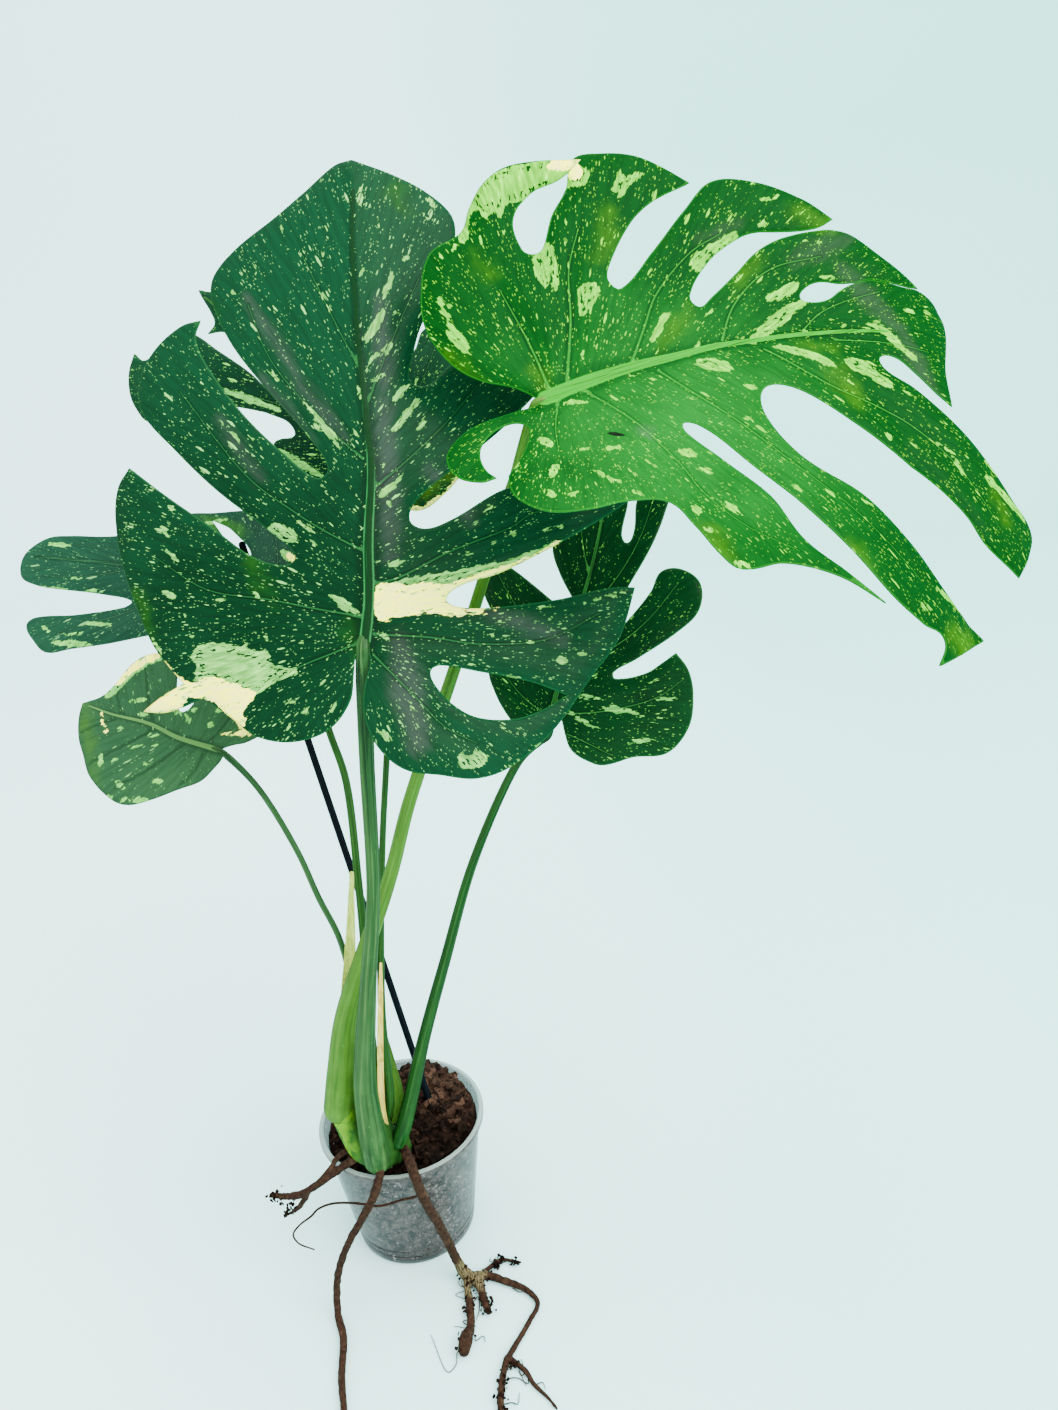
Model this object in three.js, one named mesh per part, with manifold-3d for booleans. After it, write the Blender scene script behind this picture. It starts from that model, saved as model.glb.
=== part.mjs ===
// Potted thai constellation monstera: a clear nursery pot of bark soil, a thin stake,
// a thick green crown with six leaves on long stalks, dry sheaths and three aerial roots.
// Millimetres, +Z up. The origin is the middle of the pot's flat bottom, and the plant is
// looked at along +Y.
import * as THREE from "three";
import { mergeVertices } from "three/addons/utils/BufferGeometryUtils.js";
import Module from "manifold-3d";

const wasm = await Module();
wasm.setup();

// Driving dimensions of the pot and what stands in it
const RIM_RADIUS = 60;
const POT_BASE_RADIUS = 43.4;
const POT_HEIGHT = 100;
const POT_WALL = 1.4;
const POT_FLOOR = 1.8;
const RIM_OUT = 2.2;
const RIM_DEPTH = 5;
const POT_SEGMENTS = 40;
const DRAIN_HOLES = 6;
const DRAIN_RADIUS = 4;
const DRAIN_CIRCLE = 27;
const STAKE_RADIUS = 2.5;
const GAP = 0.3;

// Driving dimensions of the blades
const BLADE_THICKNESS = 1.2;
const EDGE_STEP = 13;
const INNER_STEP = 21;
const SURFACE_STEP = 4;
const ACROSS_STEPS = 16;

const DEG = Math.PI / 180;
const UP = new THREE.Vector3(0, 0, 1);

const point = (p) => new THREE.Vector3(p[0], p[1], p[2]);
const mix = (a, b, w) => a + (b - a) * w;

function smooth(x) {
  const w = Math.min(1, Math.max(0, x));
  return w * w * (3 - 2 * w);
}

// The value at x of a line that runs through the stations
function along(stations, values, x) {
  if (x <= stations[0]) return values[0];
  for (let i = 1; i < stations.length; i++) {
    if (x < stations[i]) {
      const w = (x - stations[i - 1]) / (stations[i] - stations[i - 1]);
      return mix(values[i - 1], values[i], w);
    }
  }
  return values[values.length - 1];
}

// A closed mesh as a solid that can be joined and cut
function solidOf(geometry) {
  const bare = new THREE.BufferGeometry();
  bare.setAttribute("position", geometry.getAttribute("position"));
  if (geometry.index) bare.setIndex(geometry.index);
  const merged = mergeVertices(bare, 1e-4);
  return new wasm.Manifold(
    new wasm.Mesh({
      numProp: 3,
      vertProperties: merged.attributes.position.array,
      triVerts: new Uint32Array(merged.index.array),
    }),
  );
}

// The largest body of a solid, without the crumbs that a cut may leave
function mainBody(solid) {
  const bodies = solid.decompose();
  return bodies.reduce((a, b) => (b.volume() > a.volume() ? b : a));
}

function geometryOf(solid) {
  const mesh = mainBody(solid).getMesh();
  const geometry = new THREE.BufferGeometry();
  const positions = new Float32Array(mesh.numVert * 3);
  for (let i = 0; i < mesh.numVert; i++) {
    const at = i * mesh.numProp;
    positions.set(mesh.vertProperties.subarray(at, at + 3), i * 3);
  }
  geometry.setAttribute("position", new THREE.BufferAttribute(positions, 3));
  geometry.setIndex(new THREE.BufferAttribute(mesh.triVerts, 1));
  geometry.computeVertexNormals();
  return geometry;
}

const part = new THREE.Group();

function addNode(name, solid, color, roughness) {
  const material = new THREE.MeshStandardMaterial({ color, roughness, metalness: 0 });
  const mesh = new THREE.Mesh(geometryOf(solid), material);
  mesh.name = name;
  part.add(mesh);
}

// A round rod through points whose radius changes from point to point, with blunt ends
function rodGeometry(points, radii, sides, perSpan) {
  const curve = new THREE.CatmullRomCurve3(points, false, "centripetal");
  const spans = points.length - 1;
  const rings = spans * perSpan;
  const positions = [];
  const faces = [];
  let across = null;
  const ring = (middle, radius, side, other) => {
    for (let k = 0; k < sides; k++) {
      const a = (2 * Math.PI * k) / sides;
      const p = middle.clone();
      p.addScaledVector(side, radius * Math.cos(a));
      p.addScaledVector(other, radius * Math.sin(a));
      positions.push(p.x, p.y, p.z);
    }
  };
  const CAP_IN = 0.55;
  for (let i = 0; i <= rings; i++) {
    const u = i / rings;
    const middle = curve.getPoint(u);
    const ahead = curve.getTangent(u);
    if (!across) {
      const start = Math.abs(ahead.z) > 0.9 ? new THREE.Vector3(1, 0, 0) : UP;
      across = new THREE.Vector3().crossVectors(ahead, start);
    }
    across.addScaledVector(ahead, -across.dot(ahead)).normalize();
    const other = new THREE.Vector3().crossVectors(ahead, across);
    const stations = radii.map((_, k) => k / spans);
    const radius = along(stations, radii, u);
    if (i === 0) {
      const tip = middle.clone().addScaledVector(ahead, -radius * CAP_IN);
      ring(tip, radius * CAP_IN, across, other);
    }
    ring(middle, radius, across, other);
    if (i === rings) {
      const tip = middle.clone().addScaledVector(ahead, radius * CAP_IN);
      ring(tip, radius * CAP_IN, across, other);
    }
  }
  const loops = rings + 3;
  for (let i = 0; i < loops - 1; i++) {
    for (let k = 0; k < sides; k++) {
      const a = i * sides + k;
      const b = i * sides + ((k + 1) % sides);
      faces.push(a, b, b + sides, a, b + sides, a + sides);
    }
  }
  for (let k = 1; k < sides - 1; k++) {
    const last = (loops - 1) * sides;
    faces.push(0, k + 1, k);
    faces.push(last, last + k, last + k + 1);
  }
  const geometry = new THREE.BufferGeometry();
  const array = new Float32Array(positions);
  geometry.setAttribute("position", new THREE.BufferAttribute(array, 3));
  geometry.setIndex(faces);
  return geometry;
}

function rod(route, radii, sides = 8, perSpan = 3, grow = 0) {
  const points = route.map(point);
  const wide = radii.map((r) => r + grow);
  return solidOf(rodGeometry(points, wide, sides, perSpan));
}

// The curved sheet of a leaf. s runs across the blade, to the right of the midrib on the
// upper face, and t runs along the midrib from the top of the stalk to the tip. The midrib
// is a curve whose heading turns by droop and sway, and each side of the blade hangs from it
// by an angle that changes across and along the leaf.
class Sheet {
  constructor(leaf) {
    this.leaf = leaf;
    const az = leaf.heading * DEG;
    const el = leaf.rise * DEG;
    const roll = leaf.roll * DEG;
    this.ahead = new THREE.Vector3(
      Math.cos(el) * Math.cos(az),
      Math.cos(el) * Math.sin(az),
      Math.sin(el),
    );
    const level = new THREE.Vector3().crossVectors(this.ahead, UP).normalize();
    const top = new THREE.Vector3().crossVectors(level, this.ahead);
    this.right = level.clone().multiplyScalar(Math.cos(roll));
    this.right.addScaledVector(top, Math.sin(roll));
    this.up = top.clone().multiplyScalar(Math.cos(roll));
    this.up.addScaledVector(level, -Math.sin(roll));
    this.half = leaf.half / 3;
    this.spine = new Map();
  }

  axes(t) {
    const { stations, droop, sway } = this.leaf;
    const d = along(stations, droop, t) * DEG;
    const w = along(stations, sway, t) * DEG;
    const flat = this.ahead.clone().multiplyScalar(Math.cos(w));
    flat.addScaledVector(this.right, Math.sin(w));
    const side = this.right.clone().multiplyScalar(Math.cos(w));
    side.addScaledVector(this.ahead, -Math.sin(w));
    const forward = flat.clone().multiplyScalar(Math.cos(d));
    forward.addScaledVector(this.up, -Math.sin(d));
    const normal = this.up.clone().multiplyScalar(Math.cos(d));
    normal.addScaledVector(flat, Math.sin(d));
    return { forward, side, normal };
  }

  // The midrib's points are summed in even steps from the joint and kept
  spineStep(k) {
    if (k === 0) return point(this.leaf.joint);
    if (!this.spine.has(k)) {
      const sign = Math.sign(k);
      const p = this.spineStep(k - sign).clone();
      const middle = (k - sign / 2) * SURFACE_STEP;
      p.addScaledVector(this.axes(middle).forward, sign * SURFACE_STEP);
      this.spine.set(k, p);
    }
    return this.spine.get(k);
  }

  midrib(t) {
    const k = Math.floor(t / SURFACE_STEP);
    const w = t / SURFACE_STEP - k;
    return this.spineStep(k).clone().lerp(this.spineStep(k + 1), w);
  }

  hang(s, t) {
    const rows = s < 0 ? this.leaf.left : this.leaf.right;
    const q = Math.min(3, Math.abs(s) / this.half);
    const angles = rows.length === 1
      ? rows[0]
      : rows[0].map((_, k) => along(this.leaf.stations, rows.map((row) => row[k]), t));
    return along([0, 1, 2, 3], angles, q) * DEG;
  }

  // A lobe's tip that curls to one side moves by shift along the sheet and lift off it
  bend(s, t) {
    let ds = 0;
    let dt = 0;
    let lift = 0;
    for (const b of this.leaf.bends ?? []) {
      const ax = b.to[0] - b.from[0];
      const ay = b.to[1] - b.from[1];
      const length = Math.hypot(ax, ay);
      const u = ((s - b.from[0]) * ax + (t - b.from[1]) * ay) / length ** 2;
      const v = Math.abs((s - b.from[0]) * ay - (t - b.from[1]) * ax) / length;
      if (u <= 0 || u > 1.06 || v > b.width) continue;
      const w = u ** 2;
      ds += b.shift[0] * w;
      dt += b.shift[1] * w;
      lift += b.lift * w;
    }
    return { ds, dt, lift };
  }

  at(s0, t0) {
    const b = this.bend(s0, t0);
    const s = s0 + b.ds;
    const t = t0 + b.dt;
    const { side, normal } = this.axes(t);
    const p = this.midrib(t);
    const step = s / ACROSS_STEPS;
    for (let i = 0; i < ACROSS_STEPS; i++) {
      const h = this.hang(step * (i + 0.5), t);
      p.addScaledVector(side, step * Math.cos(h));
      p.addScaledVector(normal, -Math.abs(step) * Math.sin(h));
    }
    return p.addScaledVector(normal, b.lift);
  }

  normalAt(s, t) {
    const h = 0.5;
    const a = this.at(s + h, t).sub(this.at(s - h, t));
    const b = this.at(s, t + h).sub(this.at(s, t - h));
    return a.cross(b).normalize();
  }
}

// A closed outline with soft curves between its points, and true corners where a point
// carries a third value
function smoothLoop(points, spacing) {
  const n = points.length;
  const tangent = (i) => {
    if (points[i].length > 2) return null;
    const a = points[(i + n - 1) % n];
    const b = points[(i + 1) % n];
    const length = Math.hypot(b[0] - a[0], b[1] - a[1]) || 1;
    return [(b[0] - a[0]) / length, (b[1] - a[1]) / length];
  };
  const loop = [];
  for (let i = 0; i < n; i++) {
    const a = points[i];
    const b = points[(i + 1) % n];
    const length = Math.hypot(b[0] - a[0], b[1] - a[1]);
    const straight = [(b[0] - a[0]) / length, (b[1] - a[1]) / length];
    const m = tangent(i) ?? straight;
    const k = tangent((i + 1) % n) ?? straight;
    const pieces = Math.max(1, Math.ceil(length / spacing));
    for (let j = 0; j < pieces; j++) {
      const h = j / pieces;
      const h2 = h * h;
      const h3 = h2 * h;
      loop.push([0, 1].map(
        (c) =>
          (2 * h3 - 3 * h2 + 1) * a[c] +
          (h3 - 2 * h2 + h) * m[c] * length +
          (3 * h2 - 2 * h3) * b[c] +
          (h3 - h2) * k[c] * length,
      ));
    }
  }
  return loop;
}

function inside(loop, x, y) {
  let odd = false;
  for (let i = 0, j = loop.length - 1; i < loop.length; j = i++) {
    const [ax, ay] = loop[i];
    const [bx, by] = loop[j];
    if (ay > y !== by > y && x < ((bx - ax) * (y - ay)) / (by - ay) + ax) odd = !odd;
  }
  return odd;
}

// Delaunay triangles of points in the plane, one point added after another
function delaunay(points) {
  const FAR = 1e4;
  const all = [...points, [-FAR, -FAR], [FAR, -FAR], [0, FAR]];
  const n = points.length;
  const circle = (a, b, c) => {
    const [ax, ay] = all[a];
    const bx = all[b][0] - ax;
    const by = all[b][1] - ay;
    const cx = all[c][0] - ax;
    const cy = all[c][1] - ay;
    const d = 2 * (bx * cy - by * cx);
    const x = (cy * (bx * bx + by * by) - by * (cx * cx + cy * cy)) / d;
    const y = (bx * (cx * cx + cy * cy) - cx * (bx * bx + by * by)) / d;
    return { corners: [a, b, c], x: ax + x, y: ay + y, r2: x * x + y * y };
  };
  let triangles = [circle(n, n + 1, n + 2)];
  points.forEach(([x, y], i) => {
    const border = new Map();
    const keep = [];
    for (const t of triangles) {
      if ((x - t.x) ** 2 + (y - t.y) ** 2 > t.r2) {
        keep.push(t);
        continue;
      }
      const [a, b, c] = t.corners;
      for (const [p, q] of [[a, b], [b, c], [c, a]]) {
        const back = q + "," + p;
        if (border.has(back)) border.delete(back);
        else border.set(p + "," + q, [p, q]);
      }
    }
    for (const [p, q] of border.values()) keep.push(circle(p, q, i));
    triangles = keep;
  });
  return triangles.map((t) => t.corners).filter((t) => t.every((k) => k < n));
}

// Splits the outline's pieces until every one of them is a triangle's edge, then keeps the
// triangles that lie in the blade and in none of its holes
function bladeTriangles(loops, inner) {
  for (let round = 0; round < 8; round++) {
    const points = loops.flat().concat(inner);
    const triangles = delaunay(points);
    const edges = new Set();
    for (const [a, b, c] of triangles) {
      for (const [p, q] of [[a, b], [b, c], [c, a]]) {
        edges.add(p + "," + q);
        edges.add(q + "," + p);
      }
    }
    let start = 0;
    let missing = 0;
    const finer = loops.map((loop) => {
      const next = [];
      loop.forEach((p, i) => {
        next.push(p);
        const j = (i + 1) % loop.length;
        if (!edges.has(start + i + "," + (start + j))) {
          missing += 1;
          next.push([(p[0] + loop[j][0]) / 2, (p[1] + loop[j][1]) / 2]);
        }
      });
      start += loop.length;
      return next;
    });
    if (missing === 0) {
      const kept = triangles.filter((t) => {
        const x = (points[t[0]][0] + points[t[1]][0] + points[t[2]][0]) / 3;
        const y = (points[t[0]][1] + points[t[1]][1] + points[t[2]][1]) / 3;
        return inside(loops[0], x, y) && !loops.slice(1).some((h) => inside(h, x, y));
      });
      return { points, kept, loops };
    }
    loops = finer;
  }
  throw new Error("the outline of a blade crosses itself");
}

// Moves points by a hair, so that no four of them lie on one circle
const HAIR = 0.02;
const shaken = (loop) =>
  loop.map(([x, y]) => [x + HAIR * Math.sin(13 * x + 7 * y), y + HAIR * Math.cos(11 * y - 5 * x)]);

function signedArea(loop) {
  return loop.reduce((sum, [x, y], i) => {
    const [u, v] = loop[(i + 1) % loop.length];
    return sum + x * v - u * y;
  }, 0);
}

// A leaf's blade: both faces from the same triangles, and a band round each edge
function bladeSolid(sheet) {
  const { outline, holes = [] } = sheet.leaf;
  const outer = smoothLoop(outline, EDGE_STEP);
  const rings = holes.map((h) => smoothLoop(h, EDGE_STEP));
  if (signedArea(outer) < 0) outer.reverse();
  for (const ring of rings) if (signedArea(ring) > 0) ring.reverse();
  const inner = [];
  const xs = outer.map((p) => p[0]);
  const ys = outer.map((p) => p[1]);
  const rowStep = INNER_STEP * Math.sqrt(0.75);
  const clear = INNER_STEP * 0.5;
  const edge = [outer, ...rings].flat();
  let row = 0;
  for (let y = Math.min(...ys) + rowStep / 2; y < Math.max(...ys); y += rowStep) {
    const shift = row++ % 2 ? INNER_STEP / 2 : 0;
    for (let x = Math.min(...xs) + shift; x < Math.max(...xs); x += INNER_STEP) {
      if (!inside(outer, x, y) || rings.some((h) => inside(h, x, y))) continue;
      if (edge.some((p) => Math.hypot(p[0] - x, p[1] - y) < clear)) continue;
      inner.push([x, y]);
    }
  }
  const { points, kept, loops } = bladeTriangles([outer, ...rings].map(shaken), shaken(inner));
  const positions = [];
  const half = BLADE_THICKNESS / 2;
  for (const side of [1, -1]) {
    for (const [s, t] of points) {
      const p = sheet.at(s, t).addScaledVector(sheet.normalAt(s, t), side * half);
      positions.push(p.x, p.y, p.z);
    }
  }
  const n = points.length;
  const faces = [];
  for (const [a, b, c] of kept) {
    const [ax, ay] = points[a];
    const cross =
      (points[b][0] - ax) * (points[c][1] - ay) - (points[b][1] - ay) * (points[c][0] - ax);
    const [q, r] = cross > 0 ? [b, c] : [c, b];
    faces.push(a, q, r, n + a, n + r, n + q);
  }
  let start = 0;
  for (const loop of loops) {
    loop.forEach((_, i) => {
      const a = start + i;
      const b = start + ((i + 1) % loop.length);
      faces.push(a, n + a, b, b, n + a, n + b);
    });
    start += loop.length;
  }
  const geometry = new THREE.BufferGeometry();
  geometry.setAttribute("position", new THREE.BufferAttribute(new Float32Array(positions), 3));
  geometry.setIndex(faces);
  return solidOf(geometry);
}

// A leaf's stalk runs up to the joint, then on under the midrib as its thick root
function stalkRoute(sheet) {
  const { stalk } = sheet.leaf;
  const last = stalk.radii[stalk.radii.length - 1];
  const route = stalk.route.map(point);
  const radii = [...stalk.radii];
  const UNDER = [
    { t: -1, share: 0.9, drop: 0.6 },
    { t: 9, share: 0.7, drop: 1.05 },
    { t: 24, share: 0.5, drop: 1.05 },
    { t: 44, share: 0.3, drop: 1 },
  ];
  for (const { t, share, drop } of UNDER) {
    const p = sheet.at(0, t);
    p.addScaledVector(sheet.axes(t).normal, -last * share * drop);
    route.push(p);
    radii.push(last * share);
  }
  return { route: route.map((p) => [p.x, p.y, p.z]), radii };
}

// The six leaves. Outlines are in millimetres on the flattened blade, joint at 0, 0.
const leaves = [
  {
    // the large dark leaf in front, tip up
    name: "leaf_1_front",
    color: 0x0b5a38,
    joint: [38, -100, 491],
    heading: 88,
    rise: 66,
    roll: -2,
    half: 150,
    stations: [-80, 0, 80, 160, 240],
    droop: [0, 0, -2, 0, 6],
    sway: [4, 4, 3, 2, 1],
    left: [[6, 8, 12, 18]],
    right: [
      [10, 12, 16, 20],
      [10, 12, 16, 20],
      [11, 13, 16, 20],
      [16, 18, 20, 24],
      [18, 20, 22, 24],
    ],
    outline: [
      [0, 253, 1], [-9, 251], [-26, 238], [-42, 226], [-64, 211], [-76, 198], [-77, 185],
      [-67, 161], [-50, 137], [-27, 109], [-17, 92], [-23, 87], [-41, 101], [-63, 124],
      [-82, 152], [-87, 166], [-84, 175, 1], [-95, 173], [-111, 161], [-119, 146], [-119, 130],
      [-100, 107], [-77, 84], [-48, 61], [-35, 48], [-41, 43], [-58, 48], [-80, 64],
      [-104, 81], [-127, 99, 1], [-134, 89], [-136, 72], [-132, 47], [-115, 6], [-96, -17, 1],
      [-109, -24], [-119, -31, 1], [-107, -31.5], [-97, -29], [-85, -24, 1], [-70, -34],
      [-56, -44], [-37, -47], [-18, -41], [-7, -27], [-5, -12],
      [-4, -4], [0, -1], [4, -5], [1, -20], [1, -34], [8, -50], [21, -61], [39, -64],
      [58, -66], [76, -60], [99, -41], [120, -13], [137, 9], [146, 34, 1], [131, 33],
      [100, 26], [62, 21], [46, 22], [42, 26], [50, 33], [71, 40], [107, 58], [143, 79],
      [156, 92, 1], [129, 96], [76, 83], [46, 66], [32, 61], [24, 65], [27, 75], [45, 91],
      [73, 114], [98, 139, 1], [85, 162], [63, 158], [47, 146], [35, 135], [26, 137],
      [28, 151], [33, 167], [43, 186], [53, 216], [52, 230], [39, 241], [21, 248],
    ],
    holes: [
      [
        [34, -11], [39, -8], [60, -11], [87, -16], [107, -23, 1], [93, -31], [77, -36],
        [58, -35], [45, -28], [36, -18],
      ],
    ],
    stalk: {
      route: [
        [-9, -52, 110], [-9, -56, 135], [-9, -58, 181], [5, -66, 261], [19, -75, 334],
        [29, -86, 424], [35, -93, 470],
      ],
      radii: [9, 9.5, 7.5, 5.6, 4.6, 4.8, 4.8],
    },
  },
  {
    // the bright arched leaf on the right, whose near half hangs and whose tip rolls over
    name: "leaf_2_arched",
    color: 0x1c8a3c,
    joint: [138, -77, 601],
    heading: 12,
    rise: 7,
    roll: -56,
    half: 150,
    stations: [-80, 0, 80, 170, 200, 225, 250, 320],
    droop: [0, 0, 4, 8, 14, 28, 42, 52],
    sway: [-5, -5, -5, -3, -1, 0, 0, 0],
    left: [[-6, -8, -8, -8]],
    right: [
      [-28, -40, -48, -48],
      [-26, -32, -36, -36],
      [-20, -20, -16, -8],
      [-6, -2, 4, 10],
      [-6, -2, 4, 10],
      [-6, -2, 4, 10],
      [-6, -2, 4, 10],
      [-6, -2, 4, 10],
    ],
    outline: [
      [0, -1], [-4, -3], [-11, -10], [-20, -25], [-32, -35], [-50, -40], [-66, -37],
      [-86, -25], [-92, -6], [-102, 2], [-112, 13], [-117, 26], [-115, 38], [-109, 49, 1],
      [-103, 42], [-101, 32], [-90, 20], [-75, 19], [-71, 23], [-72, 29], [-87, 40],
      [-98, 52], [-112, 61], [-111, 77], [-106, 92], [-98, 103], [-86, 115, 1], [-81, 92],
      [-73, 77], [-56, 59], [-48, 55], [-42, 60], [-55, 82], [-73, 108], [-84, 127],
      [-79, 150], [-66, 170], [-54, 182, 1], [-53, 162], [-54, 134], [-44, 110], [-29, 93],
      [-21, 97], [-30, 120], [-42, 145], [-46, 166], [-44, 188], [-28, 213], [-12, 236, 1],
      [-12, 222], [-16, 200], [-18, 180], [-18, 166], [-14, 153], [-9, 160], [-13, 178],
      [-12, 198], [-6, 224], [-1, 244], [12, 243], [28, 232], [43, 222], [63, 214, 1],
      [55, 207], [42, 199], [31, 191], [29, 181], [37, 181], [50, 193], [67, 206],
      [93, 225], [117, 241], [133, 258], [146, 246], [159, 226, 1], [140, 203], [122, 194],
      [93, 171], [66, 147], [38, 123], [33, 106], [50, 96], [79, 100], [105, 124],
      [132, 141], [161, 157], [186, 178, 1], [189, 152], [193, 124, 1], [181, 135],
      [173, 121], [158, 106], [134, 95], [110, 83], [80, 71], [51, 62], [43, 55], [50, 52],
      [74, 59], [100, 68], [128, 70], [148, 84], [162, 97, 1], [147, 74], [140, 51],
      [143, 28], [134, 24], [112, 23], [94, 20], [89, 4], [89, -14], [84, -30], [68, -38],
      [56, -38], [46, -35, 1], [39, -28], [28, -19], [16, -13], [9, -17], [9, -27],
      [16, -37], [26, -42], [38, -43], [45, -41, 1], [45, -48], [36, -56], [19, -56],
      [9, -49], [2, -36], [1, -14], [2, -3],
    ],
    bends: [
      { from: [-110, 22], to: [-109, 49], width: 13, shift: [4, 11], lift: 9 },
      { from: [170, 130], to: [193, 124], width: 22, shift: [0, 0], lift: -5 },
    ],
    stalk: {
      route: [
        [-31, -44, 154], [-30, -41, 174], [-19, -38, 217], [-2, -37, 261],
        [24, -37, 321], [42, -38, 371], [76, -41, 449], [99, -41, 503], [114, -41, 541],
        [122, -47, 560], [129, -60, 580], [135, -70, 596],
      ],
      radii: [8.2, 7.4, 6, 5.2, 4.4, 4.1, 3.6, 3.3, 3.2, 3.2, 3.6, 4],
    },
  },
  {
    // the leaf behind the front one, tip up and to the left
    name: "leaf_3_back",
    color: 0x0f5c3a,
    joint: [44, 50, 541],
    heading: 88,
    rise: 66,
    roll: 0,
    half: 150,
    stations: [-80, 0, 80, 160, 240],
    droop: [0, 0, 4, 10, 20],
    sway: [-35, -35, -35, -35, -35],
    left: [[4, 6, 10, 16]],
    right: [[4, 6, 10, 16]],
    outline: [
      [0, -1], [-5, -7], [-15, -12], [-37, -7], [-43, 14], [-39, 35], [-29, 56], [-25, 67],
      [-34, 71], [-40, 79], [-53, 103], [-71, 131], [-88, 152], [-87, 160, 1], [-82, 160],
      [-78, 172, 1], [-72, 176], [-47, 175], [-34, 168], [-27, 145], [-20, 118], [-17, 98],
      [-11, 95], [-10, 112], [-13, 139], [-18, 163], [-22, 176], [-16, 177], [-12, 189, 1],
      [4, 178], [18, 157], [22, 129], [21, 103], [29, 99], [37, 118], [47, 139],
      [63, 147, 1], [75, 124], [78, 99], [68, 82], [60, 68], [68, 62], [84, 70], [94, 60],
      [92, 42], [74, 26], [62, 2], [51, -16], [33, -18], [12, -13], [3, -5],
    ],
    stalk: {
      route: [
        [-3, -36, 130], [1, -37, 146], [3, -28, 207], [8.5, -18, 263], [17, 0, 330],
        [25, 12, 380], [36, 30, 452], [42, 44, 515],
      ],
      radii: [3.4, 3.2, 2.6, 2.3, 2.1, 2.1, 2.1, 2.5],
    },
  },
  {
    // the leaf at the far left, tip level and to the left
    name: "leaf_4_left",
    color: 0x15693f,
    joint: [-33, 64, 482],
    heading: 180,
    rise: 12,
    roll: 30,
    half: 150,
    stations: [-80, 0, 80, 160, 240],
    droop: [0, 0, 6, 14, 22],
    sway: [6, 6, 6, 6, 6],
    left: [[2, 6, 10, 14]],
    right: [[0, 2, 4, 6]],
    outline: [
      [0, -1], [6, -7], [16, -9], [42, -2], [65, 15], [72, 33], [67, 52],
      [61, 68], [57, 84], [44, 101], [29, 123], [27, 158], [25, 173],
      [13, 182], [1, 182], [-13, 175], [-19, 163], [-22, 149], [-25, 110], [-28, 92],
      [-34, 95], [-43, 122], [-47, 150], [-53, 154], [-65, 144], [-73, 132], [-69, 117],
      [-63, 96], [-53, 72], [-44, 52], [-46, 46], [-55, 54], [-67, 55], [-74, 32],
      [-65, 7], [-44, -9], [-21, -13], [-5, -8],
    ],
    holes: [
      [
        [54, 67, 1], [41, 55.5], [31, 47], [22, 37], [20, 31], [26, 30], [35, 36], [41, 43],
        [49, 53],
      ],
    ],
    stalk: {
      route: [
        [-10, -34, 132], [-8, -26, 156], [-8, -20, 186], [-5, -12, 242], [-3, -2, 302],
        [-5, 20, 363], [-13, 33, 392], [-24, 50, 444], [-31, 60, 473],
      ],
      radii: [3.4, 3.2, 3, 2.8, 2.6, 2.5, 2.4, 2.3, 2.6],
    },
  },
  {
    // the small leaf low on the left, without slits, its far edge curled up
    name: "leaf_5_small",
    color: 0x3b8052,
    joint: [-60, -52, 422],
    heading: 160,
    rise: 14,
    roll: 42,
    half: 60,
    stations: [-80, 0, 50, 100, 160],
    droop: [0, 0, 6, 20, 40],
    sway: [0, 0, 0, 0, 0],
    left: [[0, 2, 6, 16]],
    right: [[0, 0, -12, -35]],
    outline: [
      [0, -1], [-3, -4], [-11, -2], [-20, 2], [-28, 12], [-38, 25], [-45, 38], [-45, 50],
      [-36, 71], [-25, 83], [-15, 94], [-2, 103], [6, 106, 1], [14, 91], [37, 80],
      [46, 63], [42, 54], [35, 46, 1], [26, 42], [18, 37], [15, 33], [18, 29], [25, 27],
      [31, 22], [32, 12], [26, -2], [15, -19, 1], [9, -13], [5, -6],
    ],
    stalk: {
      route: [
        [-16, -35, 136], [-18, -26, 162], [-16, -22, 202], [-15, -23.5, 250], [-16.5, -28, 276],
        [-22, -38, 311], [-28, -43, 346], [-39, -46, 383], [-46, -48, 400], [-55, -51, 416],
      ],
      radii: [2.8, 2.6, 2.2, 2, 2, 1.9, 1.8, 1.8, 1.8, 2],
    },
  },
  {
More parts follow.
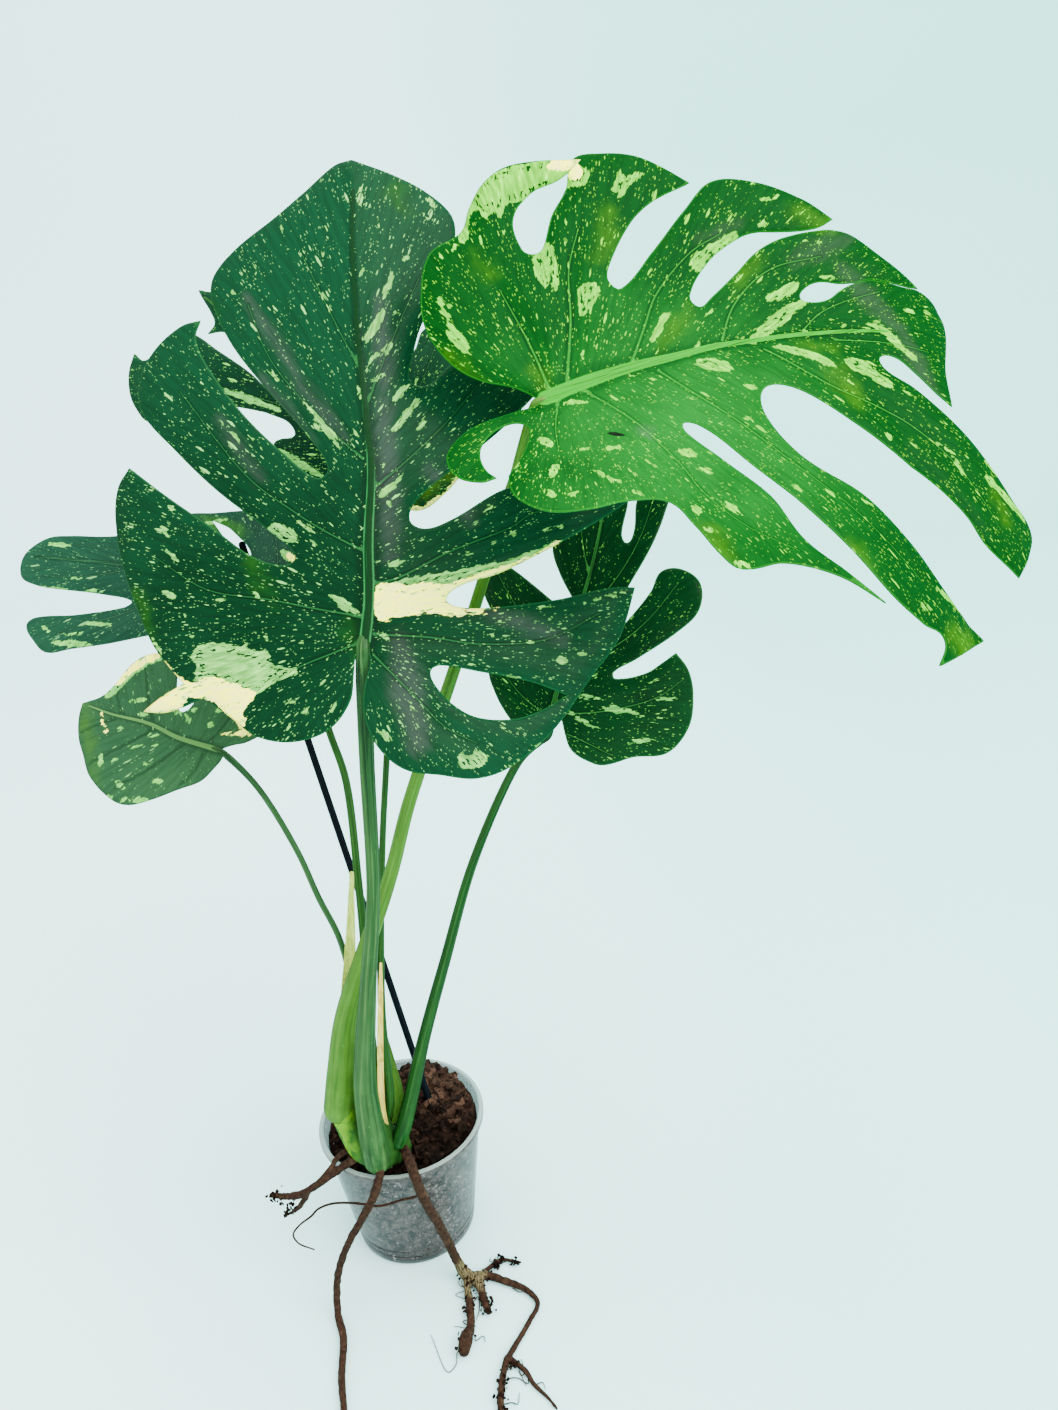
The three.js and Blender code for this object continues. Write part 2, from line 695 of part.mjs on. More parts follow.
    // the leaf at the right behind the two large ones, tip up
    name: "leaf_6_right",
    color: 0x0f6238,
    joint: [128, -18, 400],
    heading: 80,
    rise: 66,
    roll: 10,
    half: 150,
    stations: [-80, 0, 80, 160, 240],
    droop: [0, 0, 4, 10, 20],
    sway: [14, 14, 14, 14, 14],
    left: [[4, 6, 10, 16]],
    right: [[4, 6, 10, 16]],
    outline: [
      [0, -1], [4, -7], [13, -5], [20, -9], [27, -12], [41, -10], [55, -2], [74, 5],
      [83, 23], [81, 43], [75, 56], [66, 64, 1], [60, 57], [51, 48], [34, 41], [32, 45],
      [44, 56], [64, 77], [73, 92], [70, 108], [57, 114], [46, 110], [43, 97], [34, 78],
      [26, 66], [22, 71], [28, 95], [36, 123], [39, 145], [38, 165], [27, 175, 1],
      [21, 151], [24, 132], [22, 123], [17, 127], [15, 150], [4, 178, 1], [-11, 165],
      [-26, 137], [-24, 112], [-15, 97], [2, 77], [2, 70], [-15, 79], [-46, 94],
      [-62, 99, 1], [-67, 84], [-47, 59], [-24, 45], [-27, 38], [-41, 40], [-48, 32],
      [-39, 16], [-23, 1], [-7, -7],
    ],
    stalk: {
      route: [
        [4, -46, 118], [9, -46, 130], [16.5, -42, 152], [31, -37, 198], [50, -32, 251],
        [76.5, -26, 322], [110, -20, 384], [122, -18, 395],
      ],
      radii: [5.2, 5.6, 5, 4.2, 3.6, 2.9, 2.6, 3.6],
    },
  },
];

// Dry and green sheath strips that stand beside the stalks, as flat tapering tongues
const sheaths = [
  {
    name: "dry_sheath_left",
    color: 0xd9d2a0,
    route: [
      [-19, -33, 150], [-22, -30, 180], [-20, -29.5, 212], [-15, -31, 241], [-9.5, -32, 267],
      [0, -33, 324],
    ],
    widths: [7, 7, 6.5, 6, 4.6, 1.6],
    facing: [0.2, -1, 0],
  },
  {
    name: "dry_sheath_right",
    color: 0xe2d8a4,
    route: [[-3, -46, 134], [-3, -46, 150], [3, -47, 203], [9, -48, 245], [12, -49, 266]],
    widths: [4.4, 4.4, 4, 3, 1.5],
    facing: [0.1, -1, 0],
  },
  {
    name: "green_sheath",
    color: 0x8aa05a,
    route: [[2, -37, 126], [7, -35, 146], [5.5, -30, 166], [2, -22, 192]],
    widths: [6, 7, 5, 2],
    facing: [0.5, -1, 0.3],
  },
];
const SHEATH_THICKNESS = 1;

// A strip as a closed body with a lens-shaped section, wide across and thin along its facing
function stripGeometry(strip, grow) {
  const curve = new THREE.CatmullRomCurve3(strip.route.map(point), false, "centripetal");
  const spans = strip.route.length - 1;
  const rings = spans * 3;
  const stations = strip.widths.map((_, k) => k / spans);
  const positions = [];
  const faces = [];
  for (let i = 0; i <= rings; i++) {
    const u = i / rings;
    const middle = curve.getPoint(u);
    const ahead = curve.getTangent(u);
    const across = new THREE.Vector3().crossVectors(ahead, point(strip.facing)).normalize();
    const out = new THREE.Vector3().crossVectors(across, ahead);
    const width = along(stations, strip.widths, u) / 2 + grow;
    const depth = SHEATH_THICKNESS / 2 + grow;
    for (const [x, y] of [[-1, 0.2], [0, 1], [1, 0.2], [1, -0.6], [0, -1], [-1, -0.6]]) {
      const p = middle.clone().addScaledVector(across, x * width);
      p.addScaledVector(out, y * depth);
      positions.push(p.x, p.y, p.z);
    }
  }
  const n = 6;
  for (let i = 0; i < rings; i++) {
    for (let k = 0; k < n; k++) {
      const a = i * n + k;
      const b = i * n + ((k + 1) % n);
      faces.push(a, b + n, b, a, a + n, b + n);
    }
  }
  for (let k = 1; k < n - 1; k++) {
    const last = rings * n;
    faces.push(0, k, k + 1);
    faces.push(last, last + k + 1, last + k);
  }
  const geometry = new THREE.BufferGeometry();
  geometry.setAttribute("position", new THREE.BufferAttribute(new Float32Array(positions), 3));
  geometry.setIndex(faces);
  return geometry;
}

function stripSolid(strip, grow = 0) {
  const made = solidOf(stripGeometry(strip, grow));
  if (made.volume() > 0) return made;
  const turned = stripGeometry(strip, grow);
  const index = turned.index.array;
  for (let i = 0; i < index.length; i += 3) {
    [index[i + 1], index[i + 2]] = [index[i + 2], index[i + 1]];
  }
  return solidOf(turned);
}

const wallAt = (z) => mix(POT_BASE_RADIUS, RIM_RADIUS - RIM_OUT, z / POT_HEIGHT);

// Clear pot: a turned wall with a rolled rim, and drain holes round its floor
function potSolid() {
  const v = (x, y) => new THREE.Vector2(x, y);
  const profile = [
    v(0, 0),
    v(POT_BASE_RADIUS - 1, 0),
    v(wallAt(1.5), 1.5),
    v(wallAt(POT_HEIGHT - RIM_DEPTH), POT_HEIGHT - RIM_DEPTH),
    v(RIM_RADIUS, POT_HEIGHT - RIM_DEPTH + 0.8),
    v(RIM_RADIUS, POT_HEIGHT - 0.8),
    v(RIM_RADIUS - 1, POT_HEIGHT),
    v(wallAt(POT_HEIGHT) - 0.6, POT_HEIGHT),
    v(wallAt(POT_HEIGHT) - POT_WALL, POT_HEIGHT - 1),
    v(wallAt(POT_FLOOR) - POT_WALL, POT_FLOOR),
    v(0, POT_FLOOR),
  ];
  const turned = new THREE.LatheGeometry(profile, POT_SEGMENTS);
  turned.rotateX(Math.PI / 2);
  let pot = solidOf(turned);
  for (let i = 0; i < DRAIN_HOLES; i++) {
    const a = (2 * Math.PI * (i + 0.5)) / DRAIN_HOLES;
    const hole = new THREE.CylinderGeometry(DRAIN_RADIUS, DRAIN_RADIUS, 4 * POT_FLOOR, 12);
    hole.rotateX(Math.PI / 2);
    hole.translate(DRAIN_CIRCLE * Math.cos(a), DRAIN_CIRCLE * Math.sin(a), 0);
    pot = pot.subtract(solidOf(hole));
  }
  return pot;
}

// Bark soil: fills the pot and heaps up behind the crown, with lumps by a fixed formula
const SOIL_TOP = 92;
const SOIL_HEAP = 11;
const SOIL_LUMP = 1.6;
function soilHeight(x, y) {
  const heap = Math.exp(-((x - 16) ** 2 + (y - 16) ** 2) / 900);
  const lump = Math.sin(x * 0.41 + 1) * Math.cos(y * 0.37) + Math.sin((x + y) * 0.73) * 0.6;
  return SOIL_TOP + SOIL_HEAP * heap + SOIL_LUMP * lump;
}
function soilSolid() {
  const RINGS = 7;
  const AROUND = 32;
  const innerAt = (z) => wallAt(z) - POT_WALL - GAP - 0.15;
  const bottom = POT_FLOOR + GAP;
  const positions = [0, 0, soilHeight(0, 0)];
  for (let r = 1; r <= RINGS; r++) {
    for (let k = 0; k < AROUND; k++) {
      const a = (2 * Math.PI * k) / AROUND;
      const radius = (innerAt(SOIL_TOP - 3) * r) / RINGS;
      const x = radius * Math.cos(a);
      const y = radius * Math.sin(a);
      positions.push(x, y, r === RINGS ? SOIL_TOP - 3 : soilHeight(x, y));
    }
  }
  for (let k = 0; k < AROUND; k++) {
    const a = (2 * Math.PI * k) / AROUND;
    positions.push(innerAt(bottom) * Math.cos(a), innerAt(bottom) * Math.sin(a), bottom);
  }
  positions.push(0, 0, bottom);
  const faces = [];
  const id = (r, k) => 1 + (r - 1) * AROUND + (k % AROUND);
  for (let k = 0; k < AROUND; k++) {
    faces.push(0, id(1, k), id(1, k + 1));
    for (let r = 1; r <= RINGS; r++) {
      faces.push(id(r, k), id(r + 1, k), id(r + 1, k + 1));
      faces.push(id(r, k), id(r + 1, k + 1), id(r, k + 1));
    }
    faces.push(id(RINGS + 1, k), 1 + (RINGS + 1) * AROUND, id(RINGS + 1, k + 1));
  }
  const geometry = new THREE.BufferGeometry();
  geometry.setAttribute("position", new THREE.BufferAttribute(new Float32Array(positions), 3));
  geometry.setIndex(faces);
  return solidOf(geometry);
}

// Crown: the thick short stem. It rises from the soil, leans out over the front of the rim
// and turns up, with a node at the left that carries the arched leaf.
const stem = [
  {
    route: [
      [2, -8, 62], [-1, -20, 84], [-6, -32, 101], [-9, -41, 113], [-13, -42, 130],
      [-12, -40, 150],
    ],
    radii: [11, 12, 13, 14, 13, 8],
  },
  {
    route: [[-8, -44, 107], [-18, -46, 115], [-25, -46, 131], [-29, -45, 147]],
    radii: [11, 10.8, 9.8, 8.8],
  },
];

// The stake's two ends, the lower one deep in the soil
const stake = { from: [35.3, -12, 40], to: [-69, 118, 502] };

// Aerial roots: each grows from the underside of the stem. The front and right ones hang
// over the rim to the surface that the pot stands on and lie along it.
const FRONT_ROOT = {
  route: [
    [-10, -53, 108], [-9, -62, 105], [-15, -68, 92], [-25, -71, 76], [-36, -73, 58],
    [-46, -74, 34], [-50, -76, 12], [-49, -84, 3.8], [-44, -98, 3.2], [-41, -129, 2.9],
    [-37, -150, 2.7], [-36, -172, 2.4],
  ],
  radii: [3, 3, 3, 2.8, 2.7, 2.6, 2.6, 2.7, 2.7, 2.5, 2.3, 1.8],
};
const RIGHT_ROOT = [
  {
    route: [
      [7, -46, 111], [11, -56, 112], [16, -68, 106], [20, -71, 90], [26, -68, 66],
      [31, -64, 40], [35, -60, 16], [40, -61, 5], [47, -66, 4], [53, -81, 3.4],
    ],
    radii: [3.2, 3.4, 3.6, 3.4, 3.3, 3.2, 3.4, 4.4, 4, 1.6],
  },
  {
    route: [[39, -62, 5], [41, -76, 3.2], [43, -92, 3.2], [43, -103, 3.2]],
    radii: [2.4, 2.8, 2.8, 2.8],
  },
  {
    route: [[43, -100, 3.4], [40, -110, 5], [39, -117, 4.4]],
    radii: [2.6, 5, 4],
  },
  {
    route: [
      [44, -61, 4], [55, -61, 3.2], [66, -66, 2.8], [81, -74, 2.4], [89, -85, 2],
      [83, -98, 1.9], [74, -113, 2], [67, -125, 2.4],
    ],
    radii: [3.2, 2.8, 2.6, 2.2, 1.8, 1.8, 1.9, 2.2],
  },
  {
    route: [[67, -124, 2.4], [64, -139, 2.6], [63, -159, 2.4], [66, -172, 2.2]],
    radii: [2.2, 2.4, 2.2, 1.6],
  },
  {
    route: [[68, -123, 2.2], [79, -133, 2], [84, -142, 1.6], [93, -152, 1.4], [98, -159, 1.2]],
    radii: [1.8, 1.8, 1.5, 1.2, 1],
  },
  {
    route: [[50, -60, 3.4], [55, -54, 2.2], [64, -48, 2], [78, -51, 1.6]],
    radii: [1.8, 1.8, 1.5, 1],
  },
  {
    route: [[49, -66, 3.6], [52, -80, 2.8], [55, -89, 2.2]],
    radii: [2.6, 3, 1.8],
  },
];
const LEFT_ROOT = [
  {
    route: [
      [-20, -46, 112], [-29, -50, 109], [-38, -53, 105], [-54, -56, 96], [-70, -54, 86],
      [-88, -51, 85],
    ],
    radii: [2.8, 2.8, 2.6, 2.6, 2.6, 1.6],
  },
  {
    route: [[-24, -44, 114], [-36, -49, 114], [-44, -53, 106], [-52, -55, 98]],
    radii: [1.8, 1.9, 1.8, 1.8],
  },
  {
    route: [[-60, -55, 91], [-65, -54, 82], [-72, -52, 72], [-80, -51, 66]],
    radii: [1.8, 2, 1.8, 1],
  },
];
const ROOTLET = {
  route: [
    [18, -69.5, 97], [14, -67.5, 90], [4, -64.6, 85], [-12, -63.4, 80], [-30, -60, 81], [-46, -55, 77],
    [-58, -51, 69], [-64, -50, 62], [-74, -50, 54], [-79, -51, 47], [-76, -53, 41],
    [-65, -56, 37],
  ],
  radii: [1.2, 1, 0.9, 0.8, 0.8, 0.8, 0.8, 0.8, 0.7, 0.7, 0.6, 0.5],
};

function fuse(rods, sides, perSpan, grow = 0) {
  return rods
    .map((r) => rod(r.route, r.radii, sides, perSpan, grow))
    .reduce((a, b) => a.add(b));
}

// Stalks: each wraps the younger ones, so a stalk gives way to those listed before it
const STALK_SIDES = 8;
const stalks = [];
const leafSolids = [];
for (const leaf of leaves) {
  const sheet = new Sheet(leaf);
  const { route, radii } = stalkRoute(sheet);
  const last = radii.length - 1;
  radii[last] = Math.max(radii[last], 0.8);
  let solid = rod(route, radii, STALK_SIDES, 2);
  for (const other of stalks) solid = solid.subtract(other);
  stalks.push(rod(leaf.stalk.route, leaf.stalk.radii, STALK_SIDES, 2, GAP));
  leafSolids.push({ leaf, solid: mainBody(solid).add(bladeSolid(sheet)) });
}
for (const { leaf, solid } of leafSolids) addNode(leaf.name, solid, leaf.color, 0.45);

const strips = [];
for (const strip of sheaths) {
  let solid = stripSolid(strip);
  for (const other of [...stalks, ...strips]) solid = solid.subtract(other);
  strips.push(stripSolid(strip, GAP));
  addNode(strip.name, solid, strip.color, 0.8);
}

let crown = fuse(stem, 11, 2);
for (const other of [...stalks, ...strips]) crown = crown.subtract(other);
crown = mainBody(crown);
addNode("crown", crown, 0x86a83c, 0.55);
const crownRoom = fuse(stem, 11, 2, GAP);

// Roots start at the stem's skin and keep clear of the stalks
function rootSolid(rods, sides, perSpan) {
  let solid = fuse(rods, sides, perSpan).subtract(crownRoom);
  for (const other of [...stalks, ...strips]) solid = solid.subtract(other);
  return mainBody(solid);
}
addNode("root_front", rootSolid([FRONT_ROOT], 7, 1), 0x5c4030, 0.85);
addNode("root_right", rootSolid([...RIGHT_ROOT, ROOTLET], 6, 1), 0x63462f, 0.9);
addNode("root_left", rootSolid(LEFT_ROOT, 6, 1), 0x5a4231, 0.9);

const stakeRadii = [STAKE_RADIUS, STAKE_RADIUS];
const stakeSolid = rod([stake.from, stake.to], stakeRadii, 12, 1);
addNode("stake", stakeSolid, 0x10161f, 0.5);

let soil = soilSolid().subtract(crownRoom);
soil = soil.subtract(rod([stake.from, stake.to], stakeRadii, 12, 1, GAP));
for (const other of stalks) soil = soil.subtract(other);
addNode("soil", soil, 0x3a2418, 0.95);
addNode("pot", potSolid(), 0xb8bfc2, 0.3);

export default part;
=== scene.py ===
import math
import random

import bpy
import numpy as np
from mathutils import Matrix, Vector, noise
from mathutils.geometry import delaunay_2d_cdt


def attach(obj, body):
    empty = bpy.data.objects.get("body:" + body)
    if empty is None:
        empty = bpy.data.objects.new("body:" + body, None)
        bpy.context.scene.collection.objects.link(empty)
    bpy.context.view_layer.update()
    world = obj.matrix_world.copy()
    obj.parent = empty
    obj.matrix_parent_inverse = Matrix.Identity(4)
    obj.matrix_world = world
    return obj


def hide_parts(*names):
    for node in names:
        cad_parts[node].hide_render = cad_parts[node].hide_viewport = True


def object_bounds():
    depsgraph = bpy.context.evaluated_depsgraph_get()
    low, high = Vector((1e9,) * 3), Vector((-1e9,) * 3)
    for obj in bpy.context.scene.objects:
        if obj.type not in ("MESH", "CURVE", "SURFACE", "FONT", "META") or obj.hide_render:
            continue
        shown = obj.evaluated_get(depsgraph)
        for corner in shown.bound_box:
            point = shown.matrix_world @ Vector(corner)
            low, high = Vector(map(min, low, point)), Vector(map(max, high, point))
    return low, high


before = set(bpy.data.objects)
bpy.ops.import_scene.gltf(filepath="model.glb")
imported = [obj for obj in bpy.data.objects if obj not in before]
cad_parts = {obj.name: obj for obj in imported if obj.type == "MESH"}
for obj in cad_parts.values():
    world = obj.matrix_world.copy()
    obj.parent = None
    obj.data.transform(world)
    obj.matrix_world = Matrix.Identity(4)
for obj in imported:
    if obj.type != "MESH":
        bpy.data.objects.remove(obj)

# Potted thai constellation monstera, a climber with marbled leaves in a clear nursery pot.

cad_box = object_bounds()

# Camera. It stands in front of the plant near the height of its highest leaf, looks down at
# the plant and is turned a little about its own axis.
CAMERA_PLACE = Vector((0.119, -0.609, 0.658))
CAMERA_DOWN = math.radians(22)
CAMERA_TURN = math.radians(5)
CAMERA_LENS = 27.04
CAMERA_SENSOR = 36
CAMERA_NEAR = 0.01

level = Vector((1, 0, 0))
climb = Vector((0, math.sin(CAMERA_DOWN), math.cos(CAMERA_DOWN)))
camera_right = level * math.cos(CAMERA_TURN) - climb * math.sin(CAMERA_TURN)
camera_up = climb * math.cos(CAMERA_TURN) + level * math.sin(CAMERA_TURN)
camera = bpy.data.objects.new("camera", bpy.data.cameras.new("camera"))
camera.data.lens = CAMERA_LENS
camera.data.sensor_width = CAMERA_SENSOR
camera.data.clip_start = CAMERA_NEAR
turn = Matrix((camera_right, camera_up, camera_right.cross(camera_up))).transposed()
camera.matrix_world = Matrix.Translation(CAMERA_PLACE) @ turn.to_4x4()
bpy.context.scene.collection.objects.link(camera)
bpy.context.scene.camera = camera

# Studio. A pale sheet lies under the plant and curves up far behind it. A large soft lamp
# stands high up in front at the right, and a weaker one hangs over the plant.
MM = 0.001


def paint(red, green, blue):
    """A colour given as it looks on a screen, from 0 to 255."""
    def linear(c):
        c = c / 255
        return c / 12.92 if c <= 0.04045 else ((c + 0.055) / 1.055) ** 2.4
    return (linear(red), linear(green), linear(blue), 1)


class Finish:
    """A procedural material: a shader, and small helpers for the nodes that feed it."""

    def __init__(self, name, roughness, specular=0.5, coat=0.0):
        self.material = bpy.data.materials.new(name)
        self.material.use_nodes = True
        self.nodes = self.material.node_tree.nodes
        self.shader = self.nodes["Principled BSDF"]
        self.shader.inputs["Roughness"].default_value = roughness
        self.shader.inputs["Specular IOR Level"].default_value = specular
        self.shader.inputs["Coat Weight"].default_value = coat
        self.shader.inputs["Coat Roughness"].default_value = 0.3

    def feed(self, socket, value):
        if isinstance(value, bpy.types.NodeSocket):
            self.material.node_tree.links.new(value, socket)
        else:
            socket.default_value = value

    def add(self, kind, inputs, **settings):
        made = self.nodes.new("ShaderNode" + kind)
        for key, value in settings.items():
            setattr(made, key, value)
        for key, value in inputs.items():
            self.feed(made.inputs[key], value)
        return made

    def attribute(self, name, output="Fac"):
        return self.add("Attribute", {}, attribute_name=name).outputs[output]

    def axis(self, vector, number):
        return self.add("SeparateXYZ", {0: vector}).outputs[number]

    def place(self):
        """Where a point is on the object, in millimetres."""
        where = self.add("TexCoord", {}).outputs["Object"]
        return self.scaled(where, (1 / MM, 1 / MM, 1 / MM))

    def scaled(self, vector, factors):
        inputs = {0: vector, 1: factors}
        return self.add("VectorMath", inputs, operation="MULTIPLY").outputs[0]

    def shifted(self, vector, by):
        return self.add("VectorMath", {0: vector, 1: by}, operation="ADD").outputs[0]

    def calc(self, operation, a, b=0.0, c=0.0):
        return self.add("Math", {0: a, 1: b, 2: c}, operation=operation).outputs[0]

    def times(self, a, b):
        return self.calc("MULTIPLY", a, b)

    def scale_add(self, value, factor, more):
        return self.calc("MULTIPLY_ADD", value, factor, more)

    def inverse(self, value):
        """1 where value is 0, and 0 where it is 1."""
        return self.calc("SUBTRACT", 1.0, value)

    def cloud(self, where, size, detail=2.0, output="Fac"):
        """Soft noise whose features are about size wide, in the units of where."""
        inputs = {"Vector": where, "Scale": 1 / size, "Detail": detail}
        return self.add("TexNoise", inputs).outputs[output]

    def ease(self, value, low, high):
        """0 below low, 1 above high, and a smooth rise between."""
        inputs = {"Value": value, "From Min": low, "From Max": high}
        return self.add("MapRange", inputs, interpolation_type="SMOOTHSTEP").outputs[0]

    def blend(self, share, a, b):
        inputs = {0: share, 6: a, 7: b}
        return self.add("Mix", inputs, data_type="RGBA").outputs[2]

    def tone(self, color, value, saturation=1.0):
        """A colour made darker or lighter, and weaker or stronger."""
        inputs = {"Value": value, "Saturation": saturation, "Color": color}
        return self.add("HueSaturation", inputs).outputs[0]

    def color(self, value):
        self.feed(self.shader.inputs["Base Color"], value)

    def roughness(self, value, low, high):
        inputs = {"Value": value, "To Min": low, "To Max": high}
        rough = self.add("MapRange", inputs).outputs[0]
        self.feed(self.shader.inputs["Roughness"], rough)

    def bump(self, height, depth):
        """Lifts the surface's shading by height, which runs from 0 to 1, times depth in mm."""
        inputs = {"Height": height, "Distance": depth * MM, "Strength": 1.0}
        bumped = self.add("Bump", inputs).outputs[0]
        self.feed(self.shader.inputs["Normal"], bumped)


SHEET_LEFT_COLOR = (196, 230, 230)
SHEET_RIGHT_COLOR = (152, 216, 210)
SHEET_LEFT_END = -300
SHEET_RIGHT_END = 900
SHEET_CLOUD = 900
SHEET_STRAY = 300
SHEET_HALF = 6.0
SHEET_FRONT = 4.0
SHEET_BELOW = 0.0004
SHEET_BACK = 1.9
SHEET_BEND = 1.0
SHEET_HIGH = 4.0
BEND_STEPS = 14
LAMP_COLOR = (1.0, 1.0, 0.98)
AIR_COLOR = (0.94, 1.0, 0.99, 1)
AIR_STRENGTH = 3.8

sheet_finish = Finish("pale_sheet", 0.9, 0.1)
spot = sheet_finish.place()
# The sheet is painted lighter at the left and darker at the right: a painted fall of light across it.
sheet_light_falloff = sheet_finish.cloud(spot, SHEET_CLOUD)
sheet_light_falloff = sheet_finish.scale_add(sheet_light_falloff, SHEET_STRAY, sheet_finish.axis(spot, 0))
sheet_light_falloff = sheet_finish.ease(sheet_light_falloff, SHEET_LEFT_END, SHEET_RIGHT_END)
sheet_finish.color(sheet_finish.blend(sheet_light_falloff, paint(*SHEET_LEFT_COLOR), paint(*SHEET_RIGHT_COLOR)))
sheet_line = [(-SHEET_FRONT, 0.0), (0.0, 0.0)]
for k in range(BEND_STEPS + 1):
    a = math.pi / 2 * k / BEND_STEPS
    sheet_line.append((SHEET_BACK + SHEET_BEND * math.sin(a), SHEET_BEND * (1 - math.cos(a))))
sheet_line.append((SHEET_BACK + SHEET_BEND, SHEET_HIGH))
points = [(x, y, z - SHEET_BELOW) for y, z in sheet_line for x in (-SHEET_HALF, SHEET_HALF)]
faces = [(2 * k, 2 * k + 1, 2 * k + 3, 2 * k + 2) for k in range(len(sheet_line) - 1)]
mesh = bpy.data.meshes.new("studio_sheet")
mesh.from_pydata(points, [], faces)
mesh.polygons.foreach_set("use_smooth", [True] * len(faces))
mesh.materials.append(sheet_finish.material)
studio_sheet = bpy.data.objects.new("studio_sheet", mesh)
bpy.context.scene.collection.objects.link(studio_sheet)


def soft_lamp(name, place, aim, size, watts):
    lamp = bpy.data.lights.new(name, "AREA")
    lamp.size = size
    lamp.energy = watts
    lamp.color = LAMP_COLOR
    made = bpy.data.objects.new(name, lamp)
    made.location = place
    made.rotation_euler = (Vector(aim) - Vector(place)).to_track_quat("-Z", "Y").to_euler()
    bpy.context.scene.collection.objects.link(made)


soft_lamp("lamp_front", (1.9, -1.3, 2.2), (0.1, 0.0, 0.4), 2.4, 240)
soft_lamp("lamp_above", (0.3, 0.3, 2.9), (0.1, 0.1, 0.0), 2.4, 90)
world = bpy.data.worlds.new("studio_air")
world.use_nodes = True
air = world.node_tree.nodes["Background"]
air.inputs["Color"].default_value = AIR_COLOR
air.inputs["Strength"].default_value = AIR_STRENGTH
bpy.context.scene.world = world

# Pot. A thin nursery pot of clear plastic, moulded in one piece with a rolled rim, two
# steps near its foot and six drain holes. It is a little frosted by use and lime.
RIM_RADIUS = 60
POT_BASE_RADIUS = 43.4
POT_HEIGHT = 100
POT_WALL = 1.4
POT_FLOOR = 1.8
RIM_OUT = 2.2
RIM_DEPTH = 5
POT_TURNS = 120
POT_RINGS = (4.5, 8.5)
DRAIN_HOLES = 6
DRAIN_RADIUS = 4
DRAIN_CIRCLE = 27
DRAIN_SIDES = 24
DRILL_REACH = 4
FOOT_STEPS = (7, 13)
STEP_IN = 0.45
STEP_RAMP = 0.3
STEP_TALL = 1.3
POT_CLEARNESS = 0.66
SHARP_ANGLE = math.radians(40)


def make_piece(name, points, faces, finish, slot, *nodes):
    """A mesh in mm as a piece that rides on the plant's one body and stays in the CAD's box."""
    mesh = bpy.data.meshes.new(name)
    places = np.clip(np.asarray(points, float) * MM, cad_box[0], cad_box[1])
    mesh.from_pydata(places.tolist(), [], faces)
    mesh.materials.append(finish.material)
    mesh.polygons.foreach_set("use_smooth", [True] * len(mesh.polygons))
    mesh.update()
    made = bpy.data.objects.new(name, mesh)
    bpy.context.scene.collection.objects.link(made)
    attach(made, "root")
    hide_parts(*nodes)
    return made


def turned(profile, turns):
    """A closed body turned round Z. The profile starts and ends on the axis."""
    points = [(0, 0, profile[0][1])]
    for radius, height in profile[1:-1]:
        for k in range(turns):
            a = 2 * math.pi * k / turns
            points.append((radius * math.cos(a), radius * math.sin(a), height))
    points.append((0, 0, profile[-1][1]))
    last = len(points) - 1
    loops = len(profile) - 2
    faces = []
    for k in range(turns):
        n = (k + 1) % turns
        faces.append((0, 1 + n, 1 + k))
        for i in range(loops - 1):
            a = 1 + i * turns
            faces.append((a + k, a + n, a + turns + n, a + turns + k))
        faces.append((last, last - turns + k, last - turns + n))
    return points, faces


def wall_at(z):
    top = RIM_RADIUS - RIM_OUT
    return POT_BASE_RADIUS + (top - POT_BASE_RADIUS) * z / POT_HEIGHT


def applied(obj):
    """Puts the outcome of an object's modifiers into its mesh."""
    graph = bpy.context.evaluated_depsgraph_get()
    done = bpy.data.meshes.new_from_object(obj.evaluated_get(graph))
    obj.modifiers.clear()
    old = obj.data
    obj.data = done
    bpy.data.meshes.remove(old)


pot_profile = [(0, 0), (POT_BASE_RADIUS - 1.6, 0), (POT_BASE_RADIUS - 0.5, 0.3), (wall_at(1.5), 1.5)]
for z in FOOT_STEPS:
    end = z + STEP_TALL
    pot_profile += [(wall_at(z), z), (wall_at(z) - STEP_IN, z + STEP_RAMP)]
    pot_profile += [(wall_at(end) - STEP_IN, end), (wall_at(end + STEP_RAMP), end + STEP_RAMP)]
lip_low = POT_HEIGHT - RIM_DEPTH
pot_profile += [
    (wall_at(50), 50),
    (wall_at(lip_low), lip_low),
    (wall_at(lip_low) + 1, lip_low - 0.2),
    (RIM_RADIUS - 0.4, lip_low + 0.3),
    (RIM_RADIUS, lip_low + 1.2),
    (RIM_RADIUS, POT_HEIGHT - 1.4),
    (RIM_RADIUS - 0.5, POT_HEIGHT - 0.4),
    (RIM_RADIUS - 1.2, POT_HEIGHT),
    (wall_at(POT_HEIGHT) - 0.6, POT_HEIGHT),
    (wall_at(POT_HEIGHT) - POT_WALL, POT_HEIGHT - 1),
    (wall_at(POT_FLOOR) - POT_WALL, POT_FLOOR),
    (0, POT_FLOOR),
]
pot_plastic = Finish("clear_plastic", 0.24, 0.06, 0.3)
spot = pot_plastic.place()
height = pot_plastic.axis(spot, 2)
haze = pot_plastic.ease(pot_plastic.cloud(spot, 6, 5), 0.32, 0.7)
pot_gray = pot_plastic.blend(haze, paint(42, 39, 39), paint(84, 77, 75))
low = pot_plastic.inverse(pot_plastic.ease(height, 4, 34))
pot_gray = pot_plastic.blend(pot_plastic.times(low, 0.6), pot_gray, paint(34, 32, 32))
scuffs = pot_plastic.cloud(pot_plastic.scaled(spot, (0.25, 0.25, 2)), 3, 3)
for ring in POT_RINGS:
    off = pot_plastic.calc("ABSOLUTE", pot_plastic.calc("SUBTRACT", height, ring))
    mark = pot_plastic.inverse(pot_plastic.ease(off, 0.3, 1.1))
    mark = pot_plastic.times(mark, pot_plastic.ease(scuffs, 0.35, 0.55))
    pot_gray = pot_plastic.blend(pot_plastic.times(mark, 0.8), pot_gray, paint(12, 12, 13))
lime = pot_plastic.ease(pot_plastic.cloud(spot, 2.4, 2), 0.62, 0.68)
